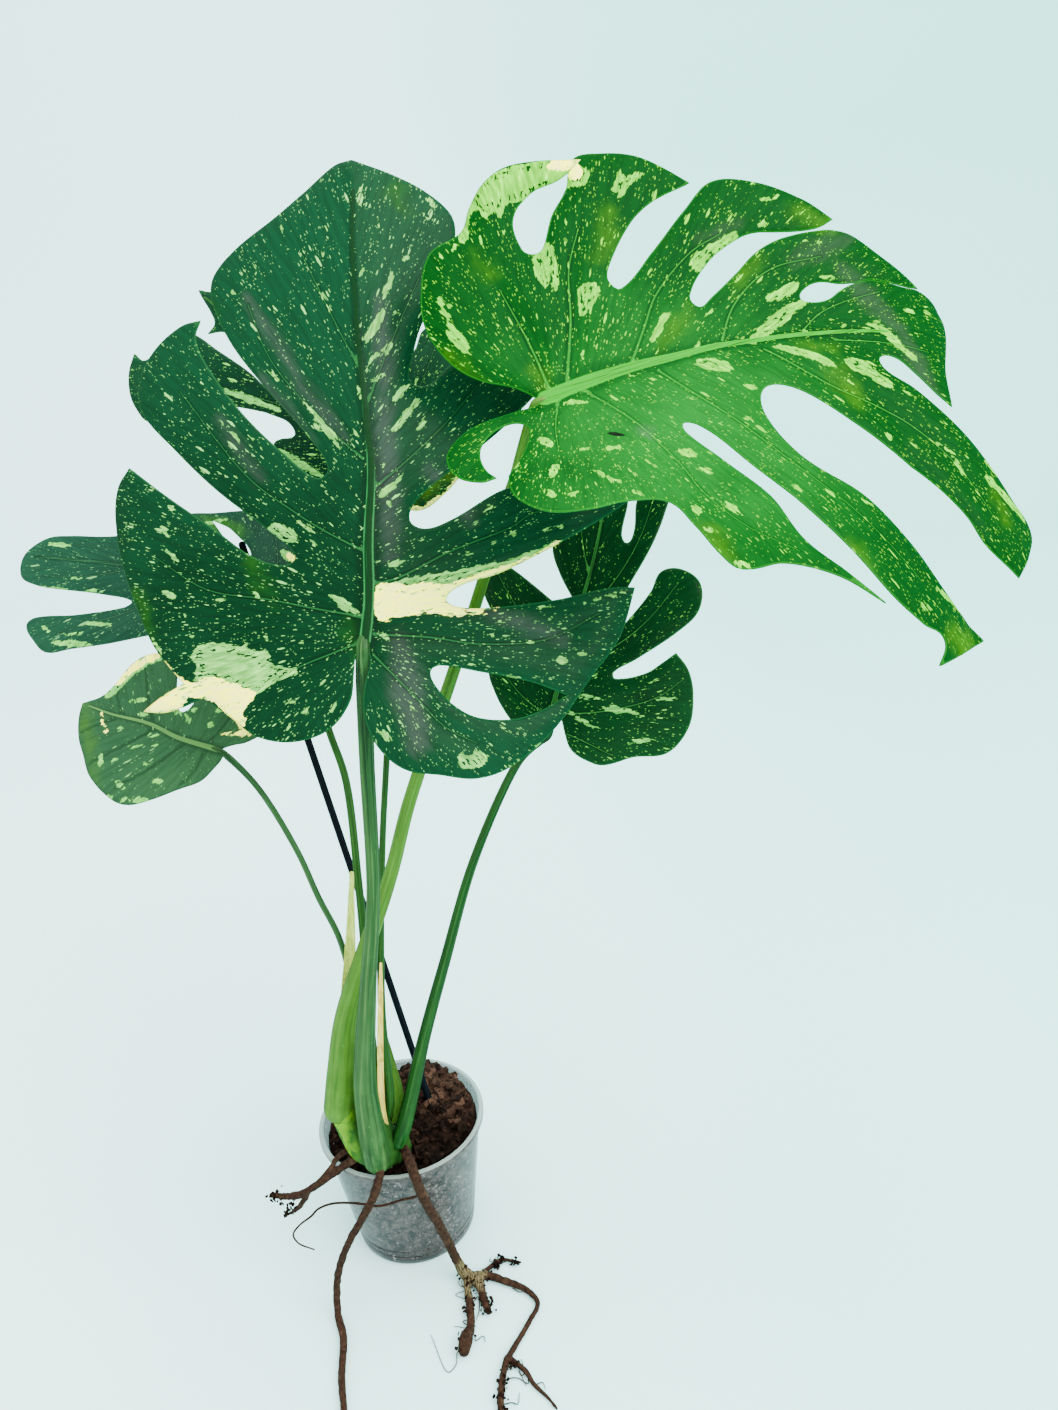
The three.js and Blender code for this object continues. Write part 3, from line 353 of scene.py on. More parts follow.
pot_gray = pot_plastic.blend(pot_plastic.times(lime, 0.75), pot_gray, paint(136, 132, 130))
# A painted highlight along the top edge of the rim.
rim_highlight = pot_plastic.ease(height, POT_HEIGHT - 1.4, POT_HEIGHT - 0.4)
pot_plastic.color(pot_plastic.blend(rim_highlight, pot_gray, paint(122, 138, 130)))
pot_plastic.shader.inputs["Alpha"].default_value = POT_CLEARNESS
points, faces = turned(pot_profile, POT_TURNS)
pot = make_piece("clear_pot", points, faces, pot_plastic, "pot_plastic", "pot")
for k in range(DRAIN_HOLES):
    a = 2 * math.pi * (k + 0.5) / DRAIN_HOLES
    low, high = -DRILL_REACH, DRILL_REACH
    drill_profile = [(0, low), (DRAIN_RADIUS, low), (DRAIN_RADIUS, high), (0, high)]
    points, faces = turned(drill_profile, DRAIN_SIDES)
    middle = (DRAIN_CIRCLE * math.cos(a), DRAIN_CIRCLE * math.sin(a), 0)
    mesh = bpy.data.meshes.new("drill")
    mesh.from_pydata(((np.array(points) + middle) * MM).tolist(), [], faces)
    drill = bpy.data.objects.new("drill", mesh)
    bpy.context.scene.collection.objects.link(drill)
    cut = pot.modifiers.new("drain_hole", "BOOLEAN")
    cut.operation = "DIFFERENCE"
    cut.object = drill
    applied(pot)
    bpy.data.objects.remove(drill)
pot.data.polygons.foreach_set("use_smooth", [True] * len(pot.data.polygons))
pot.data.set_sharp_from_angle(angle=SHARP_ANGLE)

# Soil. Coarse bark chips and peat, pressed in round the roots and heaped up behind the
# crown. The chips are loose wedges of bark, with a few white bits of pumice among them.
SOIL_TOP = 92
SOIL_HEAPS = [(11, 16, 16, 900), (9, 14, 38, 480)]
SOIL_LUMP = 1.6
SOIL_CRUMB = 1.8
SOIL_CRUMB_SIZE = 5
SOIL_RINGS = 56
SOIL_TURNS = 150
SOIL_GAP = 0.4
SOIL_EDGE_DROP = 3
SOIL_SIDE = wall_at(SOIL_TOP - SOIL_EDGE_DROP) - POT_WALL - SOIL_GAP
SOIL_BOTTOM = POT_FLOOR + 0.3
SOIL_TINT = 0.35
SOIL_SEED = 7
CHIPS = 900
CHIPS_IN = 4
CHIP_SIZE = (1.2, 5.5)
CHIP_FLATNESS = 0.35
CHIP_TINTS = 0.75
WHITE_SHARE = 0.02
WHITE_LARGEST = 3


def soil_height(x, y):
    """The level soil, its heaps (high, x, y, spread), and lumps and crumbs on them."""
    top = SOIL_TOP
    for high, heap_x, heap_y, spread in SOIL_HEAPS:
        top += high * math.exp(-((x - heap_x) ** 2 + (y - heap_y) ** 2) / spread)
    lump = math.sin(x * 0.41 + 1) * math.cos(y * 0.37) + math.sin((x + y) * 0.73) * 0.6
    crumb = noise.fractal(Vector((x, y, 3)) / SOIL_CRUMB_SIZE, 1.0, 2.0, 4)
    return top + SOIL_LUMP * lump + SOIL_CRUMB * crumb


def bit_of(rng, middle, size, flatness):
    """An irregular wedge: a cube with shaken corners, flattened and turned at random."""
    half = Vector((size * rng.uniform(0.6, 1), size * rng.uniform(0.35, 0.7), size * flatness))
    spin = Matrix.Rotation(rng.uniform(0, math.tau), 3, "Z")
    tilt = Matrix.Rotation(rng.uniform(-0.7, 0.7), 3, "X")
    corners = []
    for z in (-1, 1):
        for x, y in ((-1, -1), (1, -1), (1, 1), (-1, 1)):
            shake = [rng.uniform(0.6, 1.15) for _ in range(3)]
            corner = Vector((x * half.x * shake[0], y * half.y * shake[1], z * half.z * shake[2]))
            corners.append(tuple(Vector(middle) + spin @ tilt @ corner))
    sides = [(0, 3, 2, 1), (4, 5, 6, 7), (0, 1, 5, 4), (1, 2, 6, 5), (2, 3, 7, 6), (3, 0, 4, 7)]
    return corners, sides


points = [(0, 0, soil_height(0, 0))]
for r in range(1, SOIL_RINGS + 1):
    for k in range(SOIL_TURNS):
        a = 2 * math.pi * k / SOIL_TURNS
        x, y = SOIL_SIDE * r / SOIL_RINGS * math.cos(a), SOIL_SIDE * r / SOIL_RINGS * math.sin(a)
        points.append((x, y, soil_height(x, y) - (SOIL_EDGE_DROP if r == SOIL_RINGS else 0)))
for z in (60, 30, SOIL_BOTTOM):
    for k in range(SOIL_TURNS):
        a = 2 * math.pi * k / SOIL_TURNS
        radius = wall_at(z) - POT_WALL - SOIL_GAP
        points.append((radius * math.cos(a), radius * math.sin(a), z))
points.append((0, 0, SOIL_BOTTOM))
last = len(points) - 1
faces = []
for k in range(SOIL_TURNS):
    n = (k + 1) % SOIL_TURNS
    faces.append((0, 1 + k, 1 + n))
    for r in range(SOIL_RINGS + 2):
        a = 1 + r * SOIL_TURNS
        faces.append((a + k, a + SOIL_TURNS + k, a + SOIL_TURNS + n, a + n))
    faces.append((last - SOIL_TURNS + k, last, last - SOIL_TURNS + n))
tints = [SOIL_TINT] * len(points)
rng = random.Random(SOIL_SEED)
for _ in range(CHIPS):
    radius = (SOIL_SIDE - CHIPS_IN) * math.sqrt(rng.random())
    a = rng.uniform(0, math.tau)
    x, y = radius * math.cos(a), radius * math.sin(a)
    size = CHIP_SIZE[0] + (CHIP_SIZE[1] - CHIP_SIZE[0]) * rng.random() ** 2
    white = rng.random() < WHITE_SHARE
    if white:
        size = min(size, WHITE_LARGEST) / 2
    corners, sides = bit_of(rng, (x, y, soil_height(x, y) + size / 4), size, CHIP_FLATNESS)
    start = len(points)
    points += corners
    faces += [tuple(start + i for i in side) for side in sides]
    tints += [1.0 if white else rng.uniform(0.0, CHIP_TINTS)] * len(corners)

bark_soil = Finish("bark_and_peat", 0.95, 0.02)
spot = bark_soil.place()
grain = bark_soil.cloud(spot, 1.6, 4)
tint = bark_soil.attribute("tint")
bark = bark_soil.blend(bark_soil.ease(tint, 0.1, 0.8), paint(15, 11, 9), paint(58, 42, 32))
bark = bark_soil.blend(bark_soil.ease(grain, 0.35, 0.7), bark, paint(31, 19, 14))
bark = bark_soil.blend(bark_soil.ease(bark_soil.cloud(spot, 6, 3), 0.5, 0.7), bark, paint(8, 6, 5))
bark = bark_soil.blend(bark_soil.ease(tint, 0.85, 0.95), bark, paint(110, 112, 106))
# The soil is darker at the front and lighter towards the back.
backwards = bark_soil.scale_add(bark_soil.cloud(spot, 14, 3), 40, bark_soil.axis(spot, 1))
front_to_back_tone = bark_soil.scale_add(bark_soil.ease(backwards, -5, 45), 1.3, 0.45)
bark_soil.color(bark_soil.tone(bark, front_to_back_tone))
bark_soil.bump(grain, 0.6)
soil = make_piece("bark_soil_fill", points, faces, bark_soil, "bark_soil", "soil")
soil.data.attributes.new("tint", "FLOAT", "POINT").data.foreach_set("value", tints)
soil.data.polygons.foreach_set("use_smooth", [False] * len(soil.data.polygons))

# Stake. A thin straight garden stake with a smooth dark coating and a blunt end. It is
# pushed into the soil beside the crown and leans back.
STAKE_RADIUS = 2.5
STAKE_FROM = (35.3, -12, 40)
STAKE_TO = (-69, 118, 502)
STAKE_SIDES = 28
STAKE_STEP = 6


def spline(points, at):
    """Points on the same soft curve through given points as the CAD's, at 0 to 1."""
    p = np.array(points, float)
    p = np.vstack([2 * p[0] - p[1], p, 2 * p[-1] - p[-2]])
    spans = len(points) - 1
    out = []
    for u in at:
        i = min(int(u * spans), spans - 1)
        w = u * spans - i
        a, b, c, d = p[i:i + 4]
        k = [max(np.sum((q - r) ** 2) ** 0.25, 1e-4) for q, r in ((b, a), (c, b), (d, c))]
        m = ((b - a) / k[0] - (c - a) / (k[0] + k[1]) + (c - b) / k[1]) * k[1]
        n = ((c - b) / k[1] - (d - b) / (k[1] + k[2]) + (d - c) / k[2]) * k[1]
        out.append(b + m * w + (3 * (c - b) - 2 * m - n) * w ** 2 + (2 * (b - c) + m + n) * w ** 3)
    return np.array(out)


def rod(route, radii, sides, step, shape=None):
    """A round rod along a route, with its radii at even shares of the way. Where it is given,
    shape(share, angles) returns factors on the radius."""
    spans = len(route) - 1
    length = sum(np.linalg.norm(np.subtract(b, a)) for a, b in zip(route, route[1:]))
    rings = max(spans, int(length / step))
    at = np.linspace(0, 1, rings + 1)
    middles = spline(route, at)
    widths = np.interp(at, np.linspace(0, 1, len(radii)), radii)
    ahead = np.gradient(middles, axis=0)
    ahead /= np.linalg.norm(ahead, axis=1)[:, None]
    caps = [(0.42, 0.9), (0.72, 0.66), (0.92, 0.32)]
    rows = [(middles[0] - ahead[0] * widths[0] * c, widths[0] * w, 0) for c, w in reversed(caps)]
    rows += [(middles[i], widths[i], i) for i in range(rings + 1)]
    rows += [(middles[-1] + ahead[-1] * widths[-1] * c, widths[-1] * w, rings) for c, w in caps]
    angles = np.arange(sides) * 2 * math.pi / sides
    across = np.cross(ahead[0], (0.31, 0.95, 0.05) if abs(ahead[0][2]) > 0.8 else (0, 0, 1))
    points = []
    for middle, width, i in rows:
        across = across - ahead[i] * across.dot(ahead[i])
        across /= np.linalg.norm(across)
        other = np.cross(ahead[i], across)
        factor = shape(at[i], angles) if shape else np.ones(sides)
        ring = np.outer(np.cos(angles) * factor, across) + np.outer(np.sin(angles) * factor, other)
        points.append(middle + width * ring)
    points = np.vstack(points)
    faces = []
    for i in range(len(rows) - 1):
        for k in range(sides):
            n = (k + 1) % sides
            faces.append((i * sides + k, i * sides + n, (i + 1) * sides + n, (i + 1) * sides + k))
    last = (len(rows) - 1) * sides
    faces.append(tuple(range(sides - 1, -1, -1)))
    faces.append(tuple(range(last, last + sides)))
    return points, faces


def joined(parts):
    """Several meshes as one list of points and faces."""
    points, faces = [], []
    for more, rows in parts:
        start = sum(len(p) for p in points)
        points.append(np.asarray(more, float))
        faces += [tuple(start + i for i in row) for row in rows]
    return np.vstack(points), faces


stake_coating = Finish("dark_coating", 0.4, 0.0, 0.06)
spot = stake_coating.place()
scuff = stake_coating.cloud(stake_coating.scaled(spot, (1, 1, 0.15)), 1.2, 3)
scuff = stake_coating.ease(scuff, 0.55, 0.75)
stake_coating.color(stake_coating.blend(scuff, paint(3, 6, 10), paint(11, 15, 23)))
stake_coating.roughness(scuff, 0.38, 0.6)
stake_radii = [STAKE_RADIUS, STAKE_RADIUS]
points, faces = rod([STAKE_FROM, STAKE_TO], stake_radii, STAKE_SIDES, STAKE_STEP)
make_piece("stake_rod", points, faces, stake_coating, "stake_coating", "stake")

# Crown. The short thick green stem. It rises from the soil, leans over the front of the
# rim and turns up, with a yellow-green node at the left and scars where old leaves were.
# Here and at the roots, a rod is a route and its radii.
STEM = [
    ([(2, -8, 62), (-1, -20, 84), (-6, -32, 101), (-9, -41, 113), (-13, -42, 130), (-12, -40, 150)],
     [11, 12, 13, 14, 13, 8]),
    ([(-8, -44, 107), (-18, -46, 115), (-25, -46, 131), (-29, -45, 147)], [11, 10.8, 9.8, 8.8]),
]
CROWN_SIDES = 32
CROWN_STEP = 2
CROWN_GRAIN = 0.9
CROWN_SMOOTHING = 8
SCAR_HEIGHTS = (104, 117, 127, 138)
SCAR_DEPTH = 0.45
SCAR_HALF = 1.1


def fused(obj, grain, smoothing):
    """Melts the overlapping bodies of an object into one skin, with a grain in mm."""
    melt = obj.modifiers.new("melt", "REMESH")
    melt.mode = "VOXEL"
    melt.voxel_size = grain * MM
    ease = obj.modifiers.new("ease", "SMOOTH")
    ease.factor = 0.5
    ease.iterations = smoothing
    applied(obj)
    obj.data.polygons.foreach_set("use_smooth", [True] * len(obj.data.polygons))


def roughened(obj, lift):
    """Moves each point along its normal by lift(point in mm), in mm."""
    mesh = obj.data
    places = np.empty(len(mesh.vertices) * 3)
    mesh.vertices.foreach_get("co", places)
    normals = np.empty(len(mesh.vertices) * 3)
    mesh.vertex_normals.foreach_get("vector", normals)
    places, normals = places.reshape(-1, 3), normals.reshape(-1, 3)
    by = np.array([lift(Vector(p) / MM) for p in places.tolist()])
    mesh.vertices.foreach_set("co", (places + normals * by[:, None] * MM).ravel())
    mesh.update()


def crown_lift(p):
    """Rings where leaves once stood, and a slightly uneven skin."""
    rings = sum(math.exp(-((p.z + 0.25 * p.x - h + 2) / SCAR_HALF) ** 2) for h in SCAR_HEIGHTS)
    return 0.3 * noise.noise(p / 6) - SCAR_DEPTH * rings


crown_skin = Finish("green_stem", 0.45, 0.0, 0.1)
spot = crown_skin.place()
streak = crown_skin.cloud(crown_skin.scaled(spot, (1, 1, 0.3)), 4, 4)
streak_tone = crown_skin.ease(streak, 0.35, 0.65)
stem_green = crown_skin.blend(streak_tone, paint(30, 76, 14), paint(54, 104, 10))
patch = crown_skin.ease(crown_skin.cloud(spot, 11, 3), 0.5, 0.62)
stem_green = crown_skin.blend(patch, stem_green, paint(92, 138, 12))
fleck = crown_skin.ease(crown_skin.cloud(spot, 2.5, 4), 0.62, 0.7)
stem_green = crown_skin.blend(fleck, stem_green, paint(22, 58, 14))
rightwards = crown_skin.scale_add(crown_skin.cloud(spot, 8, 3), 16, crown_skin.axis(spot, 0))
crown_skin.color(crown_skin.blend(crown_skin.ease(rightwards, -28, -8), stem_green, paint(26, 58, 20)))
crown_skin.bump(streak, 0.5)
points, faces = joined([rod(route, radii, CROWN_SIDES, CROWN_STEP) for route, radii in STEM])
crown = make_piece("thick_stem", points, faces, crown_skin, "crown_skin", "crown")
fused(crown, CROWN_GRAIN, CROWN_SMOOTHING)
roughened(crown, crown_lift)

# Leaf 1, the large dark leaf in front. The blade, its swollen joint and its stalk grew as one
# piece. The blade is a waxy sheet that rises from its midrib, split between its side veins,
# dark blue-green with pale flecks along the veins and cream where it has no green at all.
SURFACE_STEP = 4
STEPS_BEHIND = 40
STEPS_AHEAD = 100
ACROSS_STEPS = 16
BLADE_HALF = 0.42
EDGE_ROUND = 0.35
LINE_STEP = 2.2
INNER_STEP = 2.5
LINE_CLEARANCE = 1.5
PLEAT = 1.1
PLEAT_WIDTH = 9.0
PLEAT_FALL = 8
WAVE_SIZE = 34
RIB_LIFT = 0.32
RIB_LIFT_BELOW = 0.9 * RIB_LIFT
FIELD_LEAST = -6
VEIN_TAPER = 0.65
POINTS_AT_ONCE = 2000
GRAIN_STEP = math.radians(9)


class Sheet:
    """The curved sheet of a leaf, from flat places: s across to the right, t to the tip.

    heading, rise and roll turn the leaf at its joint. At the stations along the midrib, droop
    bends it down and sway bends it sideways. Each row of left and right gives the slope of the
    blade at the midrib, at one and two thirds of half, and at half. A bend curls one lobe: its
    start, end and width, and how far its end is shifted and lifted. Millimetres and degrees.
    """

    def __init__(self, joint, heading, rise, roll, half, stations, droop, sway, left, right, bends=()):
        az, el, tilt = (math.radians(v) for v in (heading, rise, roll))
        self.joint = np.array(joint, float)
        self.stations, self.droop, self.sway = stations, np.radians(droop), np.radians(sway)
        self.left, self.right, self.bends = np.radians(left), np.radians(right), bends
        self.third = half / 3
        self.ahead = np.array([math.cos(el) * math.cos(az), math.cos(el) * math.sin(az), math.sin(el)])
        level = np.cross(self.ahead, (0, 0, 1))
        level /= np.linalg.norm(level)
        top = np.cross(level, self.ahead)
        self.across = level * math.cos(tilt) + top * math.sin(tilt)
        self.up = top * math.cos(tilt) - level * math.sin(tilt)
        self.marks = np.arange(-STEPS_BEHIND, STEPS_AHEAD + 1) * SURFACE_STEP
        forward = self.axes(self.marks[:-1] + SURFACE_STEP / 2)[0] * SURFACE_STEP
        line = np.vstack([np.zeros(3), np.cumsum(forward, axis=0)])
        self.line = line - line[STEPS_BEHIND] + self.joint

    def axes(self, t):
        """The directions to the tip, across and out of the face, at distances t."""
        d = np.interp(t, self.stations, self.droop)[:, None]
        w = np.interp(t, self.stations, self.sway)[:, None]
        flat = self.ahead * np.cos(w) + self.across * np.sin(w)
        side = self.across * np.cos(w) - self.ahead * np.sin(w)
        forward = flat * np.cos(d) - self.up * np.sin(d)
        normal = self.up * np.cos(d) + flat * np.sin(d)
        return forward, side, normal

    def hang(self, s, t):
        """How steeply the blade hangs down beside its midrib, as an angle."""
        q = np.minimum(3, np.abs(s) / self.third)
        k = np.minimum(2, q.astype(int))
        angle = []
        for rows in (self.left, self.right):
            if len(rows) == 1:
                columns = [np.full(len(t), v) for v in rows[0]]
            else:
                columns = [np.interp(t, self.stations, rows[:, c]) for c in range(4)]
            columns = np.array(columns)
            low, high = columns[k, np.arange(len(t))], columns[k + 1, np.arange(len(t))]
            angle.append(low + (q - k) * (high - low))
        return np.where(s < 0, angle[0], angle[1])

    def at(self, s0, t0):
        """Places in space, in mm, of flat places."""
        s, t, lift = s0.copy(), t0.copy(), np.zeros(len(s0))
        for start, end, width, shift, rise in self.bends:
            ax, ay = end[0] - start[0], end[1] - start[1]
            length = math.hypot(ax, ay)
            u = ((s0 - start[0]) * ax + (t0 - start[1]) * ay) / length ** 2
            v = np.abs((s0 - start[0]) * ay - (t0 - start[1]) * ax) / length
            w = np.where((u > 0) & (u <= 1.06) & (v <= width), u ** 2, 0)
            s, t, lift = s + shift[0] * w, t + shift[1] * w, lift + rise * w
        side, normal = self.axes(t)[1:]
        p = np.stack([np.interp(t, self.marks, self.line[:, c]) for c in range(3)], axis=1)
        step = s / ACROSS_STEPS
        for i in range(ACROSS_STEPS):
            h = self.hang(step * (i + 0.5), t)
            p += side * (step * np.cos(h))[:, None] - normal * (np.abs(step) * np.sin(h))[:, None]
        return p + normal * lift[:, None]

    def normals(self, s, t):
        """Directions out of the curved face, from its slope over 1 mm."""
        h = 0.5
        n = np.cross(self.at(s + h, t) - self.at(s - h, t), self.at(s, t + h) - self.at(s, t - h))
        return n / np.linalg.norm(n, axis=1)[:, None]


def smooth_loop(points, spacing, closed=True):
    """A soft outline through given points; a point with a third value is a true corner."""
    n = len(points)

    def tangent(i):
        if len(points[i]) > 2:
            return None
        a = points[(i - 1) % n] if closed else points[max(i - 1, 0)]
        b = points[(i + 1) % n] if closed else points[min(i + 1, n - 1)]
        away = np.subtract(b[:2], a[:2])
        return away / max(np.linalg.norm(away), 1e-9)

    loop = []
    for i in range(n if closed else n - 1):
        a, b = np.array(points[i][:2], float), np.array(points[(i + 1) % n][:2], float)
        length = np.linalg.norm(b - a)
        straight = (b - a) / length
        m, k = tangent(i), tangent((i + 1) % n)
        m = (straight if m is None else m) * length
        k = (straight if k is None else k) * length
        for h in np.arange(math.ceil(length / spacing)) / math.ceil(length / spacing):
            loop.append(
                (2 * h ** 3 - 3 * h * h + 1) * a + (h ** 3 - 2 * h * h + h) * m
                + (3 * h * h - 2 * h ** 3) * b + (h ** 3 - h * h) * k
            )
    if not closed:
        loop.append(np.array(points[-1][:2], float))
    return np.array(loop)


def inside(loop, p):
    """Which of the flat points p lie in a loop."""
    a, b = loop, np.roll(loop, -1, axis=0)
    odd = np.zeros(len(p), bool)
    for (ax, ay), (bx, by) in zip(a, b):
        if ay != by:
            odd ^= ((ay > p[:, 1]) != (by > p[:, 1])) & (
                p[:, 0] < (bx - ax) * (p[:, 1] - ay) / (by - ay) + ax
            )
    return odd


def distance_to(line, p, closed=False):
    """The distance of flat points from a line, and how far along it the nearest place is."""
    a = line if closed else line[:-1]
    b = np.roll(line, -1, axis=0) if closed else line[1:]
    best = np.full(len(p), 1e9)
    share = np.zeros(len(p))
    for i, (start, end) in enumerate(zip(a, b)):
        way = end - start
        u = np.clip(((p - start) @ way) / max(way @ way, 1e-9), 0, 1)
        gap = np.linalg.norm(p - start - u[:, None] * way, axis=1)
        nearer = gap < best
        best = np.where(nearer, gap, best)
        share = np.where(nearer, (i + u) / len(a), share)
    return best, share


def vein_fan(veins, tip):
    """For one side of the blade, where a vein leaves the midrib and how steeply it runs."""
    at, angle = [-16.0], [-84.0]
    for line, _ in sorted(veins, key=lambda vein: vein[0][0][1]):
        (s0, t0), (s1, t1) = line[0], line[-1]
        turn = math.degrees(math.atan2(t1 - t0, abs(s1 - s0)))
        at.append(max(t0, at[-1] + 3))
        angle.append(max(turn, angle[-1] + 2))
    at.append(max(tip, at[-1] + 10))
    angle.append(max(76.0, angle[-1] + 2))
    return np.array(at), np.radians(angle)


def grain_angle(fan, s, t):
    """The direction of the side veins at flat points of one side, found by halving."""
    low, high = np.full(len(s), fan[0][0]), np.full(len(s), fan[0][-1])
    for _ in range(24):
        middle = (low + high) / 2
        above = middle + np.abs(s) * np.tan(np.interp(middle, *fan)) > t
        low, high = np.where(above, low, middle), np.where(above, middle, high)
    return np.interp(low, *fan)


def patch_field(p, patches):
    """How far flat points lie inside given patches, in mm, negative outside. A patch is
    a list of the points round it, or (s, t, s, t, half width) for a streak between two points."""
    field = np.full(len(p), -20.0)
    for patch in patches:
        if isinstance(patch[0], tuple):
            loop = smooth_loop(patch, 4)
            gap = distance_to(loop, p, True)[0]
            field = np.maximum(field, np.where(inside(loop, p), gap, -gap))
        else:
            s0, t0, s1, t1, half = patch
            line = np.array([(s0, t0), (s1, t1)], float)
            gap, share = distance_to(line, p)
            field = np.maximum(field, half * (1 - 0.5 * np.abs(2 * share - 1)) - gap)
    return field


def in_blade(p, loops):
    """Which flat points lie in the outline, the first loop, and in none of its holes."""
    ok = inside(loops[0], p)
    for loop in loops[1:]:
        ok &= ~inside(loop, p)
    return ok


def clear_of(p, others, gap):
    """Which flat points lie further than gap from all the others, a part of them at a time."""
    ok = np.ones(len(p), bool)
    for start in range(0, len(p), POINTS_AT_ONCE):
        part = p[start:start + POINTS_AT_ONCE]
        near = np.min(np.linalg.norm(part[:, None] - others[None], axis=2), axis=1)
        ok[start:start + POINTS_AT_ONCE] = near > gap
    return ok


def flat_triangles(loops, lines):
    """Flat points and triangles that fill the blade and have edges along its veins."""
    taken = rim = np.vstack(loops)
    chains = []
    for line in lines:
        keep = in_blade(line, loops) & clear_of(line, taken, LINE_CLEARANCE)
        chain = []
        for p, ok in zip(line, keep):
            if ok:
                chain.append(p)
                continue
            if len(chain) > 1:
                chains.append(np.array(chain))
            chain = []
        if len(chain) > 1:
            chains.append(np.array(chain))
        taken = np.vstack([rim] + chains)
    low, high = loops[0].min(axis=0), loops[0].max(axis=0)
    rows = np.arange(low[1], high[1], INNER_STEP * math.sqrt(0.75))
    grid = np.array([
        (x + (INNER_STEP / 2 if k % 2 else 0), y)
        for k, y in enumerate(rows) for x in np.arange(low[0], high[0], INNER_STEP)
    ])
    grid = grid[in_blade(grid, loops)]
    grid = grid[clear_of(grid, taken, INNER_STEP * 0.55)]
    flat, edges = [], []
    for loop in loops:
        n = len(flat)
        flat += list(loop)
        edges += [(n + i, n + (i + 1) % len(loop)) for i in range(len(loop))]
    for chain in chains:
        n = len(flat)
        flat += list(chain)
        edges += [(n + i, n + i + 1) for i in range(len(chain) - 1)]
    flat += list(grid)
    made = delaunay_2d_cdt([Vector(p) for p in flat], edges, [], 0, 1e-5)
    p = np.array([tuple(v) for v in made[0]])
    tris = np.array(made[2])
    corners = p[tris]
    turn = np.cross(corners[:, 1] - corners[:, 0], corners[:, 2] - corners[:, 0])
    tris[turn < 0] = tris[turn < 0][:, ::-1]
    tris = tris[in_blade(corners.mean(axis=1), loops) & (np.abs(turn) > 1e-6)]
    used = np.unique(tris)
    renumber = np.zeros(len(p), int)
    renumber[used] = np.arange(len(used))
    return p[used], renumber[tris]


def open_edge(p, tris):
    """The sides that one triangle alone has, the points on them and their ways outward."""
    sides = {}
    for a, b, c in tris.tolist():
        for q in ((a, b), (b, c), (c, a)):
            if (q[1], q[0]) in sides:
                del sides[(q[1], q[0])]
            else:
                sides[q] = True
    ends = np.zeros((len(p), 2))
    for a, b in sides:
        way = p[b] - p[a]
        out = np.array([way[1], -way[0]]) / max(np.linalg.norm(way), 1e-9)
        ends[a] += out
        ends[b] += out
    rim_ids = sorted({i for side in sides for i in side})
    out = ends[rim_ids] / np.maximum(np.linalg.norm(ends[rim_ids], axis=1), 1e-9)[:, None]
    return list(sides), rim_ids, out


def write_grain(blade, flat, veins, tip):
    """Writes for each corner its place along and across the grain of its face, in mm."""
    ids = np.empty(len(blade.data.loops), int)
    blade.data.loops.foreach_get("vertex_index", ids)
    starts = np.empty(len(blade.data.polygons), int)
    sizes = np.empty(len(blade.data.polygons), int)
    blade.data.polygons.foreach_get("loop_start", starts)
    blade.data.polygons.foreach_get("loop_total", sizes)
    centers = np.add.reduceat(flat[ids], starts) / sizes[:, None]
    angle = np.zeros(len(centers))
    for sign in (-1, 1):
        part = centers[:, 0] * sign >= 0
        mine = [v for v in veins if np.mean([q[0] for q in v[0]]) * sign >= 0]
        found = grain_angle(vein_fan(mine, tip), centers[part, 0], centers[part, 1])
        angle[part] = found if sign > 0 else math.pi - found
    angle = np.round(angle / GRAIN_STEP) * GRAIN_STEP
    angle = np.repeat(angle, sizes)
    at = flat[ids]
    along = at[:, 0] * np.cos(angle) + at[:, 1] * np.sin(angle)
    aside = at[:, 1] * np.cos(angle) - at[:, 0] * np.sin(angle)
    grain_vectors = np.column_stack([along, aside, np.zeros(len(at))])
    grain = blade.data.attributes.new("grain", "FLOAT_VECTOR", "CORNER")
    grain.data.foreach_set("vector", grain_vectors.ravel())


